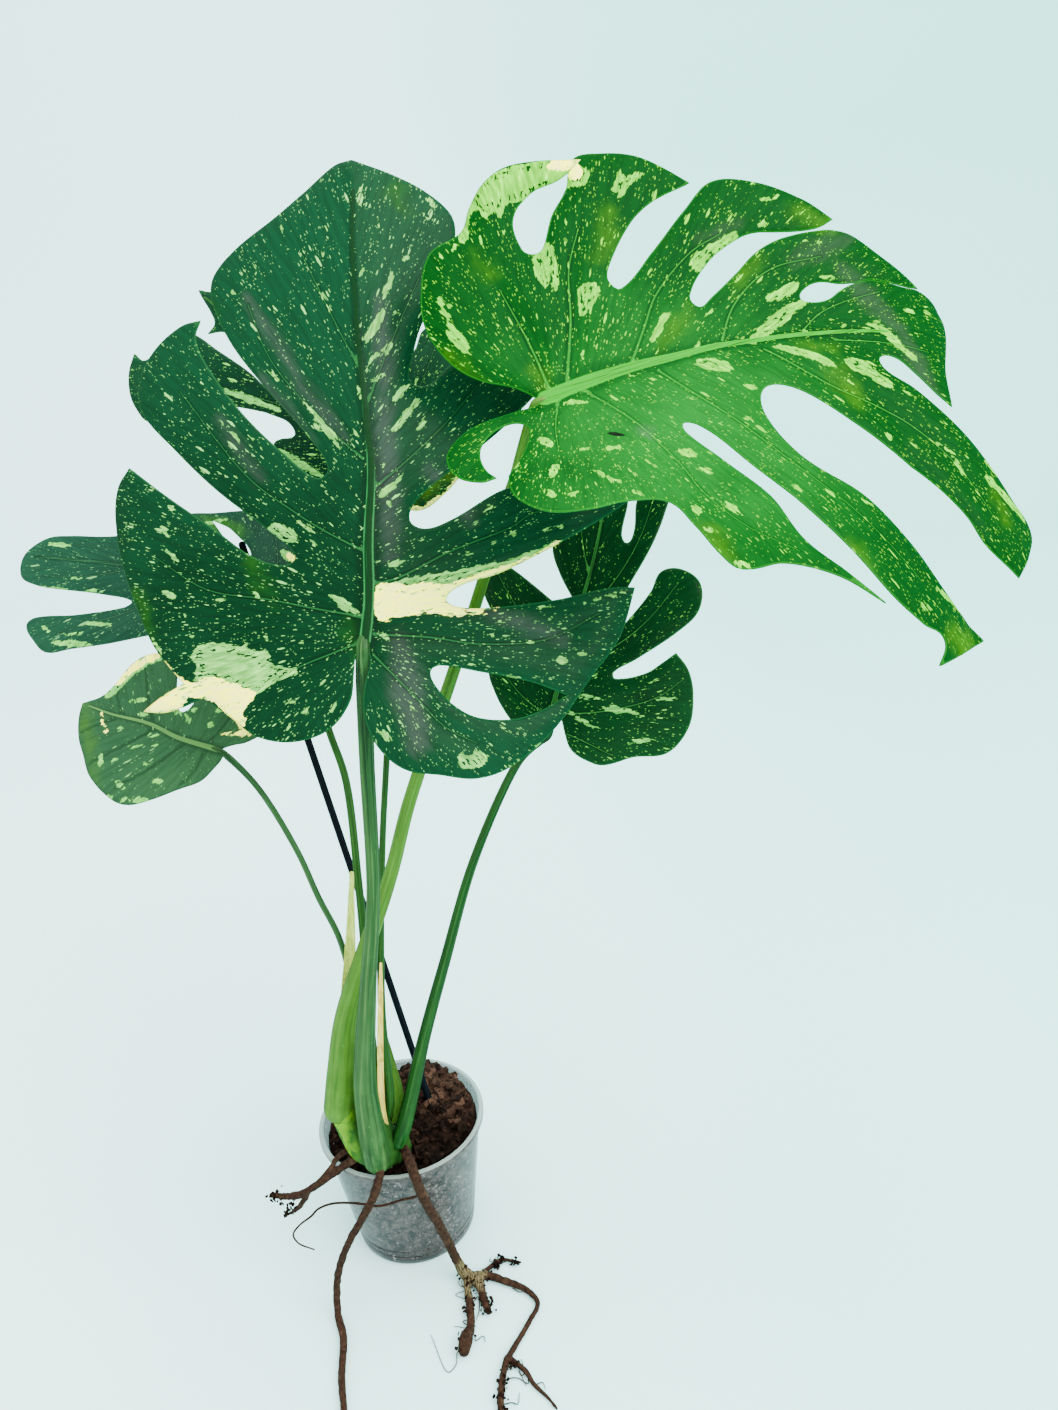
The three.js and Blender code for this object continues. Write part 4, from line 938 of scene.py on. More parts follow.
def make_blade(name, node, slot, finish, sheet, outline, holes, midrib, veins, marks, pleat=PLEAT):
    """The blade of a leaf: two faces that follow the sheet, a round edge, pleats and a rib."""
    loops = [smooth_loop(line, LINE_STEP) for line in [outline, *holes]]
    midline = smooth_loop(midrib["line"], LINE_STEP, False)
    vein_lines = [(smooth_loop(line, LINE_STEP, False), width) for line, width in veins]
    p, tris = flat_triangles(loops, [midline] + [line for line, _ in vein_lines])
    count = len(p)

    gap_mid, share_mid = distance_to(midline, p)
    rib_half = np.interp(share_mid, np.linspace(0, 1, len(midrib["halves"])), midrib["halves"])
    rib_depth = np.clip(1 - gap_mid / rib_half, FIELD_LEAST, 1)
    rib = np.maximum(rib_depth, 0)
    vein = rib_depth
    nearest = gap_mid.copy()
    for line, width in vein_lines:
        gap, share = distance_to(line, p)
        half = width * (1 - VEIN_TAPER * share) / 2
        depth = np.clip(1 - gap / half, FIELD_LEAST, 1)
        vein = np.maximum(vein, depth * (1 - 0.25 * share))
        nearest = np.minimum(nearest, gap + 6 * share ** 3)
    edge = distance_to(loops[0], p, True)[0]
    for loop in loops[1:]:
        edge = np.minimum(edge, distance_to(loop, p, True)[0])
    fall = np.clip(edge / PLEAT_FALL, 0, 1)
    lift = pleat * fall * (1 - np.exp(-(nearest / PLEAT_WIDTH) ** 2)) - 0.35 * pleat
    wave = [0.5 * noise.noise(Vector((s, t, 1)) / WAVE_SIZE) for s, t in p.tolist()]
    lift = lift + np.array(wave) * pleat

    sides, rim_ids, out = open_edge(p, tris)
    rim_at = {i: k for k, i in enumerate(rim_ids)}
    beyond = p[rim_ids] + out * EDGE_ROUND
    middle = sheet.at(p[:, 0], p[:, 1])
    normal = sheet.normals(p[:, 0], p[:, 1])
    rise = (BLADE_HALF + RIB_LIFT * np.sqrt(rib) * rib_half)[:, None] * normal
    sink = BLADE_HALF + RIB_LIFT_BELOW * np.sqrt(np.clip(vein, 0, 1)) * rib_half
    body = middle + normal * lift[:, None]
    rounded = sheet.at(beyond[:, 0], beyond[:, 1]) + normal[rim_ids] * lift[rim_ids][:, None]
    points = np.vstack([body + rise, body - sink[:, None] * normal, rounded])
    faces = [tuple(t) for t in tris.tolist()]
    faces += [(count + a, count + c, count + b) for a, b, c in tris.tolist()]
    for a, b in sides:
        m, n = 2 * count + rim_at[a], 2 * count + rim_at[b]
        faces += [(a, m, n, b), (m, count + a, count + b, n)]
    blade = make_piece(name, points, faces, finish, slot, node)

    order = np.concatenate([np.arange(count), np.arange(count), np.array(rim_ids)])
    flat_all = p[order]
    fields = {
        "vein": vein[order],
        "edge": edge[order],
        "rib": rib_depth[order],
        "pale": patch_field(p, marks["pale"] + marks["cream"])[order],
        "cream": patch_field(p, marks["cream"])[order],
        "gold": patch_field(p, marks.get("gold", []))[order],
        "sheen": patch_field(p, marks.get("sheen", []))[order],
        "dark": patch_field(p, marks.get("dark", []))[order],
        "under": np.concatenate([np.zeros(count), np.ones(count), np.zeros(len(rim_ids))]),
    }
    for field, values in fields.items():
        blade.data.attributes.new(field, "FLOAT", "POINT").data.foreach_set("value", values)
    flat_vectors = np.column_stack([flat_all, np.zeros(len(flat_all))])
    flat_places = blade.data.attributes.new("flat", "FLOAT_VECTOR", "POINT")
    flat_places.data.foreach_set("vector", flat_vectors.ravel())
    write_grain(blade, flat_all, veins, max(q[1] for q in outline))


CREAM_BRIGHT = (252, 250, 60)
CREAM_DULL = (236, 226, 120)
PALE_GREEN = ((70, 134, 56), (100, 176, 74))
PALE_FLECK = (150, 215, 90)
DRY_TEAR_AND_SHADE = (6, 14, 6)
# Length and width of a fleck's cell in mm, the share of cells that hold one, and its size.
FLECK_KINDS = {
    "dust": (1.9, 0.7, 0.18, 0.35),
    "small": (4.2, 0.95, 0.075, 0.36),
    "large": (9.0, 1.8, 0.028, 0.4),
}


def leaf_skin(
    name, near, far, speck, rib, side, gold,
    middle=(0, 80), reach=160, amount=1.0, gloss=0.05, core=0.2, rib_tip_shade=0.0,
    painted_sheen_share=0.6, pale_green=PALE_GREEN,
):
    """Waxy leaf skin. Its green goes from near to far round a flat place; on it lie gold streaks,
    painted sheen streaks, veins with painted shade beside them, flecks along the grain, and pale and
    cream parts."""
    skin = Finish(name, 0.42, 0.0, gloss)
    flat, grain = skin.attribute("flat", "Vector"), skin.attribute("grain", "Vector")

    def along_grain(factors, size, detail):
        return skin.cloud(skin.scaled(grain, factors), size, detail)

    away = skin.shifted(flat, (-middle[0], -middle[1], 0))
    away = skin.add("VectorMath", {0: away}, operation="LENGTH").outputs["Value"]
    away = skin.scale_add(skin.cloud(flat, 38, 3), reach * 0.9, away)
    green = skin.blend(skin.ease(away, reach * 0.4, reach * 1.5), paint(*near), paint(*far))
    golden = skin.calc("ADD", skin.attribute("gold"), -12)
    golden = skin.scale_add(skin.cloud(flat, 14, 3), 24, golden)
    golden = skin.times(skin.ease(golden, -7, 9), 0.75)
    green = skin.blend(golden, green, paint(*gold))
    streaks = along_grain((0.04, 0.42, 1), 1.0, 3)
    green = skin.blend(skin.ease(streaks, 0.36, 0.6), skin.tone(green, 0.8), green)
    # Painted sheen: lighter, greyer streaks along the ridges between the veins, where the waxy skin
    # catches light.
    painted_sheen = skin.scale_add(along_grain((0.1, 0.5, 1), 2.0, 2), 9, -4.5)
    painted_sheen = skin.ease(skin.calc("ADD", skin.attribute("sheen"), painted_sheen), -5, 5)
    green = skin.blend(skin.times(painted_sheen, painted_sheen_share), green, skin.tone(green, 1.5, 0.35))

    wobble = skin.cloud(grain, 1.1, 2, "Color")
    wobble = skin.scaled(skin.shifted(wobble, (-0.5, -0.5, -0.5)), (2.2, 0.6, 0))
    shaken = skin.add("VectorMath", {0: grain, 1: wobble}, operation="ADD").outputs[0]
    crowd = skin.ease(skin.cloud(flat, 15, 3), 0.3, 0.7)
    crowd = skin.scale_add(crowd, 1.5 * amount, 0.25 * amount)

    def flecks(seed, length, width, share, size):
        """Flecks in cells of length by width mm; about share of the cells hold one."""
        cells = skin.shifted(shaken, (seed * 37.0, seed * 11.0, 0))
        cells = skin.scaled(cells, (1 / length, 1 / width, 0))
        spots = skin.add("TexVoronoi", {"Vector": cells, "Scale": 1.0}, voronoi_dimensions="2D")
        chance = skin.add("SeparateColor", {0: spots.outputs["Color"]})
        lack = skin.calc("DIVIDE", skin.inverse(chance.outputs[0]), skin.times(crowd, share))
        inner = skin.calc("SUBTRACT", skin.scale_add(lack, -size, size), spots.outputs["Distance"])
        return skin.ease(inner, -0.05, 0.05), chance.outputs[1]

    dust, _ = flecks(1, *FLECK_KINDS["dust"])
    small, tint = flecks(2, *FLECK_KINDS["small"])
    large, _ = flecks(3, *FLECK_KINDS["large"])
    small = skin.times(small, skin.scale_add(tint, 0.6, 0.4))
    specks = skin.calc("MAXIMUM", skin.times(dust, 0.55), skin.calc("MAXIMUM", small, large))

    veins = skin.attribute("vein")
    line = skin.ease(veins, 0.1, 0.7)
    # Painted shade in the grooves beside the veins.
    vein_shade = skin.times(skin.ease(veins, -2.2, -0.3), skin.inverse(line))
    green = skin.blend(vein_shade, green, skin.tone(green, 0.62))
    green = skin.blend(skin.times(line, 0.8), green, paint(*side))
    green = skin.blend(specks, green, paint(*speck))

    pale_depth, cream_depth = skin.attribute("pale"), skin.attribute("cream")
    ragged = skin.scale_add(along_grain((0.45, 1, 1), 2.4, 3), 4.4, -2.2)
    nibbled = skin.scale_add(along_grain((0.2, 1, 1), 0.9, 2), 2.0, -1.0)
    ragged = skin.calc("ADD", ragged, nibbled)
    ring = skin.calc("SUBTRACT", skin.ease(pale_depth, 1.2, 2.4), skin.ease(pale_depth, 3.0, 6.5))
    gaps = skin.ease(skin.cloud(skin.scaled(shaken, (0.35, 1, 1)), 1.4, 3), 0.54, 0.58)
    gaps = skin.times(skin.times(gaps, ring), 9.0)
    rough_pale = skin.calc("ADD", skin.calc("SUBTRACT", pale_depth, gaps), ragged)
    tones = along_grain((0.1, 0.6, 1), 1.0, 4)
    pale = skin.blend(skin.ease(tones, 0.36, 0.64), paint(*pale_green[0]), paint(*pale_green[1]))
    pale = skin.blend(skin.times(skin.ease(tones, 0.64, 0.7), 0.6), pale, paint(*PALE_FLECK))
    green = skin.blend(skin.ease(rough_pale, -0.15, 0.2), green, pale)
    islands = skin.ease(skin.cloud(skin.scaled(shaken, (0.3, 1, 1)), 1.5, 3), 0.6, 0.64)
    near_rim = skin.inverse(skin.ease(cream_depth, 2.0, 7.5))
    islands = skin.times(skin.times(islands, near_rim), 9.0)
    rough_cream = skin.calc("SUBTRACT", skin.calc("ADD", cream_depth, ragged), islands)
    cream = skin.blend(skin.ease(tones, 0.35, 0.66), paint(*CREAM_BRIGHT), paint(*CREAM_DULL))
    green = skin.blend(skin.ease(rough_cream, -0.15, 0.2), green, cream)

    # A small tear is painted as a dark spot: partly its dry rim and partly the shade seen through it.
    green = skin.blend(skin.ease(skin.attribute("dark"), -0.2, 0.3), green, paint(*DRY_TEAR_AND_SHADE))
    ribs = skin.attribute("rib")
    rib_lines = skin.cloud(skin.scaled(flat, (1, 0.03, 1)), 0.9, 2)
    # Along its centre the midrib is darker, and towards the tip it is painted darker still: a painted
    # shade line along the raised rib.
    way_up = skin.ease(skin.axis(flat, 1), 40, 170)
    rib_tone = skin.scale_add(skin.ease(ribs, 0.12, 0.5), -core, rib_lines)
    rib_tone = skin.scale_add(way_up, -rib_tip_shade, rib_tone)
    rib_dark_and_shade = skin.tone(paint(*rib), 0.16)
    rib_color = skin.blend(skin.ease(rib_tone, 0.1, 0.5), rib_dark_and_shade, paint(*rib))
    green = skin.blend(skin.ease(ribs, -0.1, 0.1), green, rib_color)
    # A pale line along the margin: partly the margin's own paler tissue and partly a painted highlight
    # where the edge catches light.
    rim = skin.inverse(skin.ease(skin.attribute("edge"), 0.1, 0.6))
    green = skin.blend(skin.times(rim, 0.4), green, paint(*side))
    skin.color(skin.blend(skin.attribute("under"), green, skin.tone(green, 1.7, 0.8)))
    ridges = skin.scale_add(streaks, 0.8, skin.times(skin.cloud(flat, 0.9, 2), 0.2))
    skin.roughness(skin.cloud(flat, 9, 3), 0.36, 0.5)
    skin.bump(ridges, 0.22)
    return skin


JOINT_GREEN = (84, 140, 62)


def stalk_skin(name, base, light, dark, streak=0.5, joint_from=None):
    """Smooth green stalk with fine pale and dark lines along it. Where joint_from is given, it
    is pale from so many millimetres up, at its swollen joint."""
    skin = Finish(name, 0.4, 0.0, 0.12)
    along = skin.attribute("along", "Vector")
    lines = skin.cloud(skin.scaled(along, (3.2, 3.2, 0.02)), 1.0, 3)
    green = skin.blend(skin.ease(lines, 0.36, 0.5), paint(*dark), paint(*base))
    pale_lines = skin.times(skin.ease(lines, 0.56, 0.68), streak)
    green = skin.blend(pale_lines, green, paint(*light))
    bands = skin.ease(skin.cloud(skin.scaled(along, (0.9, 0.9, 0.004)), 1.0, 1), 0.46, 0.6)
    green = skin.blend(skin.times(bands, 0.3 * streak), green, paint(*light))
    flecks = skin.ease(skin.cloud(skin.scaled(along, (4, 4, 0.4)), 1.0, 2), 0.68, 0.73)
    green = skin.blend(skin.times(flecks, 0.4), green, paint(*light))
    if joint_from:
        at_joint = skin.ease(skin.axis(along, 2), joint_from - 6, joint_from + 4)
        green = skin.blend(at_joint, green, paint(*JOINT_GREEN))
    soft = skin.cloud(skin.scaled(along, (1, 1, 0.06)), 1.0, 2)
    skin.color(skin.tone(green, skin.scale_add(soft, 0.9, 0.55)))
    skin.bump(lines, 0.12)
    return skin


STALK_SIDES = 28
STALK_STEP = 2.5
STALK_ROOTS = [(-1, 0.9, 0.6), (9, 0.7, 1.05), (24, 0.5, 1.05), (44, 0.3, 1.0)]


def mark_along(piece, sides, step):
    """Writes each point's turn round a rod, as a point on a circle, and its way along it in mm."""
    ids = np.arange(len(piece.data.vertices))
    turn = ids % sides * 2 * math.pi / sides
    places = np.column_stack([np.cos(turn), np.sin(turn), ids // sides * step])
    along = piece.data.attributes.new("along", "FLOAT_VECTOR", "POINT")
    along.data.foreach_set("vector", places.ravel())


def make_stalk(name, node, slot, finish, sheet, route, radii):
    """A stalk that widens to its swollen joint and runs on under the midrib as its root. The
    rows of STALK_ROOTS are how far along the midrib, and shares of the radius and the drop."""
    last = radii[-1]
    route, radii = list(route), list(radii)
    for t, share, drop in STALK_ROOTS:
        where = np.array([float(t)])
        place = sheet.at(np.zeros(1), where)[0] - sheet.axes(where)[2][0] * last * share * drop
        route.append(tuple(place))
        radii.append(max(last * share, 0.8))

    def shape(share, angles):
        return 1 + 0.02 * np.cos(3 * angles + 5 * share) + 0.012 * np.cos(7 * angles)

    points, faces = rod(route, radii, STALK_SIDES, STALK_STEP, shape)
    stalk = make_piece(name, points, faces, finish, slot, node)
    mark_along(stalk, STALK_SIDES, STALK_STEP)


# The tables of a leaf are flat places in mm, with the joint at (0, 0) and the tip upward. A
# third value makes a true corner. A vein is a line and its width where it leaves the midrib.
LEAF_1_OUTLINE = [
    (0, 253, 1), (-9, 251), (-26, 238), (-42, 226), (-64, 211), (-76, 198), (-77, 185), (-67, 161),
    (-50, 137), (-27, 109), (-17, 92), (-23, 87), (-41, 101), (-63, 124), (-82, 152), (-87, 166),
    (-84, 175, 1), (-95, 173), (-111, 161), (-119, 146), (-119, 130), (-100, 107), (-77, 84),
    (-48, 61), (-35, 48), (-41, 43), (-58, 48), (-80, 64), (-104, 81), (-127, 99, 1), (-134, 89),
    (-136, 72), (-132, 47), (-115, 6), (-96, -17, 1), (-109, -24), (-119, -31, 1), (-107, -31.5),
    (-97, -29), (-85, -24, 1), (-70, -34), (-56, -44), (-37, -47), (-18, -41), (-7, -27), (-5, -12),
    (-4, -4), (0, -1), (4, -5), (1, -20), (1, -34), (8, -50), (21, -61), (39, -64), (58, -66),
    (76, -60), (99, -41), (120, -13), (137, 9), (146, 34, 1), (131, 33), (100, 26), (62, 21), (46, 22),
    (42, 26), (50, 33), (71, 40), (107, 58), (143, 79), (156, 92, 1), (129, 96), (76, 83), (46, 66),
    (32, 61), (24, 65), (27, 75), (45, 91), (73, 114), (98, 139, 1), (85, 162), (63, 158), (47, 146),
    (35, 135), (26, 137), (28, 151), (33, 167), (43, 186), (53, 216), (52, 230), (39, 241), (21, 248),
]
LEAF_1_HOLE = [
    (34, -11), (39, -8), (60, -11), (87, -16), (107, -23, 1), (93, -31), (77, -36), (58, -35),
    (45, -28), (36, -18),
]
LEAF_1_STALK = [
    (-11, -52, 110), (-10.5, -56, 135), (-9, -58, 181), (5, -66, 261), (19, -75, 334), (29, -86, 424),
    (35, -93, 470),
]
LEAF_1_STALK_RADII = [9.4, 9.4, 7.6, 5.1, 3.9, 4.2, 4.6]
leaf_1_sheet = Sheet(
    joint=(38, -100, 491),
    heading=88,
    rise=66,
    roll=-2,
    half=150,
    stations=[-80, 0, 80, 160, 240],
    droop=[0, 0, -2, 0, 6],
    sway=[4, 4, 3, 2, 1],
    left=[[6, 8, 12, 18]],
    right=[[10, 12, 16, 20], [10, 12, 16, 20], [11, 13, 16, 20], [16, 18, 20, 24], [18, 20, 22, 24]],
)
LEAF_1_MIDRIB = {
    "line": [(1, 4), (3, 24), (3, 55), (5, 90), (3, 121), (0, 162), (-1, 204), (0, 236)],
    "halves": [2.9, 2.5, 1.6, 1.0, 0.6],
}
LEAF_1_VEINS = [
    ([(-2, 3), (-15, -2), (-33, -9), (-56, -21)], 1.5),
    ([(0, 16), (-22, 20), (-50, 26), (-83, 32), (-112, 50)], 1.4),
    ([(1, 49), (-21, 61), (-36, 71), (-56, 86), (-71, 103), (-96, 138)], 1.2),
    ([(1, 96), (-12, 108), (-30, 128), (-47, 152), (-57, 180)], 1.0),
    ([(1, 140), (-12, 168), (-28, 205)], 0.8),
    ([(4, -2), (24, -22), (42, -40), (58, -48)], 1.5),
    ([(6, 7), (34, 6), (60, 3), (95, 6), (125, 20)], 1.5),
    ([(7, 33), (18, 36), (45, 50), (77, 63), (88, 70), (135, 85)], 1.4),
    ([(7, 82), (18, 91), (30, 102), (44, 116), (62, 137)], 1.2),
    ([(4, 124), (16, 154), (33, 192)], 0.8),
]
LEAF_1_MARKS = {
    "pale": [
        [(7, 23), (7, 31), (18, 35), (34, 38), (47, 40), (60, 43), (71, 45), (88, 51), (105, 57),
         (107, 55), (88, 46), (71, 37), (55, 31), (47, 29), (43, 26), (47, 22), (60, 21), (71, 21),
         (55, 18), (45, 17), (34, 18), (21, 17), (8, 15)],
        [(-88, 2), (-79, 4), (-65, 2), (-54, -1), (-47, -2), (-50, -6), (-39, -9), (-33, -11),
         (-41, -15), (-49, -19), (-56, -23), (-63, -21), (-76, -16), (-89, -15), (-88, -7), (-92, -3)],
        [(-50, 62), (-45, 65), (-37, 61), (-33, 57), (-38, 55), (-45, 56)],
        [(48, -58), (49, -53), (54, -55), (57, -52), (64, -55), (60, -60), (50, -61)],
        (-39, 225, -36, 214, 0.8), (-15, 217, -13, 207, 0.6), (-16, 206, -16, 202, 0.8),
        (-20, 184, -17, 177, 1.0), (-19, 186, -12, 170, 0.6), (-52, 203, -52, 195, 0.7),
        (-65, 189, -63, 186, 1.3), (-51, 188, -49, 183, 0.8), (-31, 160, -25, 151, 0.8),
        (-48, 146, -42, 139, 0.9), (-29, 127, -12, 107, 1.0), (-24, 117, -20, 111, 1.5),
        (-20, 113, -10, 102, 1.3), (-4, 112, 0, 106, 0.8), (-29, 111, -26, 108, 1.3),
        (-59, 113, -52, 103, 0.9), (-68, 115, -63, 107, 0.8), (-74, 121, -70, 115, 0.7),
        (4, 241, 4, 228, 0.9), (12, 224, 13, 217, 0.8), (22, 242, 22, 238, 0.8),
        (39, 239, 43, 232, 1.7), (37, 229, 39, 225, 1.2), (2, 187, 4, 194, 0.7),
        (14, 179, 20, 194, 1.7), (15, 198, 16, 201, 1.0), (25, 200, 28, 204, 1.2),
        (4, 156, 14, 173, 2.2), (11, 147, 17, 157, 1.7), (6, 145, 9, 151, 1.0), (3, 137, 5, 144, 0.7),
        (18, 170, 21, 173, 1.0), (6, 134, 13, 140, 1.0), (17, 126, 26, 135, 1.7),
        (17, 111, 30, 127, 2.0), (28, 110, 34, 118, 1.2), (-1, 133, 2, 126, 1.3),
        (11, 91, 14, 95, 1.2), (32, 103, 35, 105, 1.0), (7, 76, 21, 87, 1.7), (12, 80, 14, 72, 1.3),
        (12, 41, 20, 45, 1.3), (51, 48, 58, 50, 1.0), (76, 59, 80, 60, 1.3), (62, 70, 68, 75, 1.0),
        (93, 61, 105, 64, 0.8), (83, 21, 104, 24, 0.5), (116, 25, 144, 33, 0.8), (69, 14, 74, 15, 0.8),
        (101, 14, 105, 15, 0.8), (64, 6, 69, 9, 0.8), (83, 3, 88, 5, 1.0), (101, -5, 106, -4, 2.4),
        (112, -2, 117, 0, 1.1), (52, -7, 59, -9, 0.9), (73, -13, 79, -14, 0.8), (35, 13, 39, 13, 0.8),
        (8, 8, 13, 5, 1.5), (24, -28, 27, -33, 1.3), (8, -41, 14, -47, 1.8), (32, -19, 36, -22, 1.0),
        (71, -40, 76, -42, 1.0), (88, -49, 93, -48, 1.1), (72, -61, 77, -59, 0.8),
        (-104, 79, -101, 74, 1.4), (-110, 68, -103, 61, 1.4), (-107, 55, -98, 47, 0.8),
        (-102, 51, -100, 49, 1.6), (-107, 31, -101, 29, 2.1), (-80, 26, -72, 27, 1.3),
        (-61, 34, -54, 26, 0.7), (-33, 66, -25, 60, 1.3), (-31, 57, -23, 52, 1.0),
        (-16, 27, -2, 17, 2.3), (-52, 6, -49, 5, 1.0), (-34, 4, -30, 2, 0.8), (-63, 5, -59, 3, 0.8),
        (-44, 43, -42, 39, 0.8), (-96, 21, -94, 18, 0.8), (-92, 8, -88, 6, 0.8),
        (-39, -27, -35, -26, 1.0), (-31, -33, -27, -30, 1.3), (-18, -32, -14, -28, 1.3),
        (-40, -41, -37, -38, 1.3), (-22, -19, -19, -15, 0.7), (-20, -6, -17, -4, 0.8),
        (-115, 8, -108, -2, 1.1),
    ],
    "cream": [
        [(-109, -4), (-99, -13), (-93, -16), (-87, -16), (-84, -14), (-74, -15), (-63, -19),
         (-56, -22), (-59, -27), (-63, -32), (-61, -36), (-64, -40), (-73, -32), (-82, -25),
         (-90, -24), (-96, -20), (-101, -15), (-107, -9)],
        [(7, 15), (7, 32), (15, 33.5), (24, 32), (34, 34), (42, 33), (50, 36), (60, 39), (75, 44),
         (90, 50), (104, 56), (88, 46.5), (71, 38), (55, 31), (47, 28.5), (43, 26), (47, 22),
         (60, 21), (71, 21), (55, 18), (45, 17), (34, 18), (21, 17)],
        [(-94, -20), (-106, -20), (-120, -30), (-108, -34), (-94, -26)],
    ],
    "gold": [
        (-57, 44, -49, 27, 3.7), (-124, 31, -116, 9, 3.5), (22, 242, 24, 228, 4.9),
        (-84, 186, -76, 169, 2.7), (-6, 14, -3, -1, 2.6),
    ],
    # Streaks of painted sheen, where ridges between the veins catch light.
    "sheen": [
        (-74, 121, -53, 88, 2.4), (-51, 140, -26, 105, 2.6), (-57, 183, -31, 138, 2.3),
        (-32, 138, -8, 107, 2.6), (12, 126, 14, 45, 6.6), (18, 4, 28, -49, 8.7),
        (12, 178, 13, 132, 4.1), (35, 91, 55, 67, 4.8), (60, 21, 104, 6, 3.7),
        (-128, 120, -104, 96, 2.5),
    ],
}
leaf_1_skin = leaf_skin(
    "dark_leaf_skin", near=(1, 32, 13), far=(7, 46, 25), speck=(104, 164, 84),
    rib=(28, 90, 44), side=(24, 74, 34), gold=(20, 60, 6),
    middle=(-60, 20), reach=170, amount=0.8, core=0.45, rib_tip_shade=0.5,
    painted_sheen_share=0.8, pale_green=((68, 124, 50), (106, 168, 76)),
)
leaf_1_stalk_skin = stalk_skin(
    "leaf_1_stalk_skin", base=(30, 62, 28), light=(66, 98, 50), dark=(12, 40, 14), streak=0.6,
)
make_blade(
    "leaf_1_blade", "leaf_1_front", "dark_leaf", leaf_1_skin, leaf_1_sheet,
    LEAF_1_OUTLINE, [LEAF_1_HOLE], LEAF_1_MIDRIB, LEAF_1_VEINS, LEAF_1_MARKS,
)
make_stalk(
    "leaf_1_stalk", "leaf_1_front", "dark_leaf", leaf_1_stalk_skin, leaf_1_sheet,
    LEAF_1_STALK, LEAF_1_STALK_RADII,
)

# Leaf 2, the bright arched leaf at the right, on a stalk from the left of the crown. Its near
# half hangs, its tip rolls over and one lobe at the left is curled up. Its waxy skin is yellower
# and brighter than that of leaf 1.
LEAF_2_OUTLINE = [
    (0, -1), (-4, -3), (-11, -10), (-20, -25), (-32, -35), (-50, -40), (-66, -37), (-86, -25),
    (-92, -6), (-102, 2), (-112, 13), (-117, 26), (-115, 38), (-109, 49, 1), (-103, 42), (-101, 32),
    (-90, 20), (-75, 19), (-71, 23), (-72, 29), (-87, 40), (-98, 52), (-112, 61), (-111, 77),
    (-106, 92), (-98, 103), (-86, 115, 1), (-81, 92), (-73, 77), (-56, 59), (-48, 55), (-42, 60),
    (-55, 82), (-73, 108), (-84, 127), (-79, 150), (-66, 172), (-52, 186, 1), (-48.8, 176), (-49, 164),
    (-51, 151), (-53, 140), (-52, 130), (-44, 110), (-29, 93), (-22, 96), (-25, 104), (-34, 122),
    (-42, 136), (-46, 149), (-47.2, 162), (-47, 175), (-46, 184), (-42, 194), (-28, 210), (-12, 233, 1),
    (-12, 222), (-14.4, 208), (-16.6, 197), (-16, 186), (-17, 177), (-20, 167), (-19, 158), (-14, 152),
    (-10, 158), (-9.5, 168), (-13, 177), (-15.2, 186), (-15.9, 197), (-13.7, 208), (-11.3, 220),
    (-10.5, 233), (-5, 248), (3, 252), (14, 245), (28, 233), (43, 222), (63, 214, 1), (55, 207),
    (42, 199), (31, 191), (29, 181), (37, 181), (50, 193), (67, 206), (93, 225), (117, 241),
    (133, 258), (146, 246), (159, 226, 1), (140, 203), (122, 194), (93, 171), (66, 147), (38, 123),
    (33, 106), (50, 96), (79, 100), (105, 124), (132, 141), (161, 157), (186, 178, 1), (189, 152),
    (193, 124, 1), (181, 135), (173, 121), (158, 106), (134, 95), (110, 83), (80, 71), (51, 62),
    (43, 55), (50, 52), (74, 59), (100, 68), (128, 70), (148, 84), (162, 97, 1), (147, 74), (140, 51),
    (143, 28), (134, 24), (112, 23), (94, 20), (89, 4), (89, -14), (84, -30), (68, -38), (56, -38),
    (46, -35, 1), (39, -28), (28, -19), (16, -13), (9, -17), (9, -27), (16, -37), (26, -42), (38, -43),
    (45, -41, 1), (45, -48), (36, -56), (19, -56), (9, -49), (2, -36), (1, -14), (2, -3),
]
LEAF_2_STALK = [
    (-32, -44, 150), (-28, -41, 174), (-19, -38, 217), (-2, -37, 261), (24, -37, 321), (42, -38, 371),
    (76, -41, 449), (99, -41, 503), (114, -41, 541), (122, -47, 560), (129, -60, 580), (135, -70, 596),
]
LEAF_2_STALK_RADII = [10.6, 9.5, 7.3, 5.7, 4.5, 4.1, 3.6, 3.3, 3.2, 3.2, 3.6, 4]
leaf_2_sheet = Sheet(
    joint=(138, -77, 601),
    heading=12,
    rise=7,
    roll=-56,
    half=150,
    stations=[-80, 0, 80, 170, 200, 225, 250, 320],
    droop=[0, 0, 4, 8, 14, 28, 42, 52],
    sway=[-5, -5, -5, -3, -1, 0, 0, 0],
    left=[[-6, -8, -8, -8]],
    right=[[-28, -40, -48, -48], [-26, -32, -36, -36], [-20, -20, -16, -8]] + [[-6, -2, 4, 10]] * 5,
    bends=[((-110, 22), (-109, 49), 13, (4, 11), 9), ((170, 130), (193, 124), 22, (0, 0), -5)],
)
LEAF_2_MIDRIB = {
    "line": [(0, 2), (-2, 26), (-2, 49), (-1, 72), (0, 95), (3, 118), (6, 142), (10, 166), (15, 193)],
    "halves": [4.4, 3.0, 1.9, 1.5, 1.2, 0.8],
}
LEAF_2_VEINS = [
    ([(-5, 6), (-29, 5), (-59, 1)], 1.9),
    ([(-4, 15), (-34, 29), (-59, 38), (-77, 50)], 2.2),
    ([(-3, 49), (-19, 63), (-34, 76), (-50, 101), (-56, 121)], 1.7),
    ([(1, 98), (-19, 115), (-32, 141), (-33, 172)], 1.5),
    ([(6, 142), (-4, 162), (-9, 200)], 1.1),
    ([(2, 8), (22, -2), (40, -8)], 1.2),
    ([(3, 22), (37, 34), (71, 38), (93, 38), (118, 46), (134, 62)], 1.5),
    ([(5, 61), (41, 75), (80, 91), (115, 113), (151, 135)], 1.5),
    ([(10, 119), (39, 142), (65, 175), (98, 201), (133, 218)], 1.5),
    ([(14, 160), (22, 190), (30, 215)], 1.0),
]
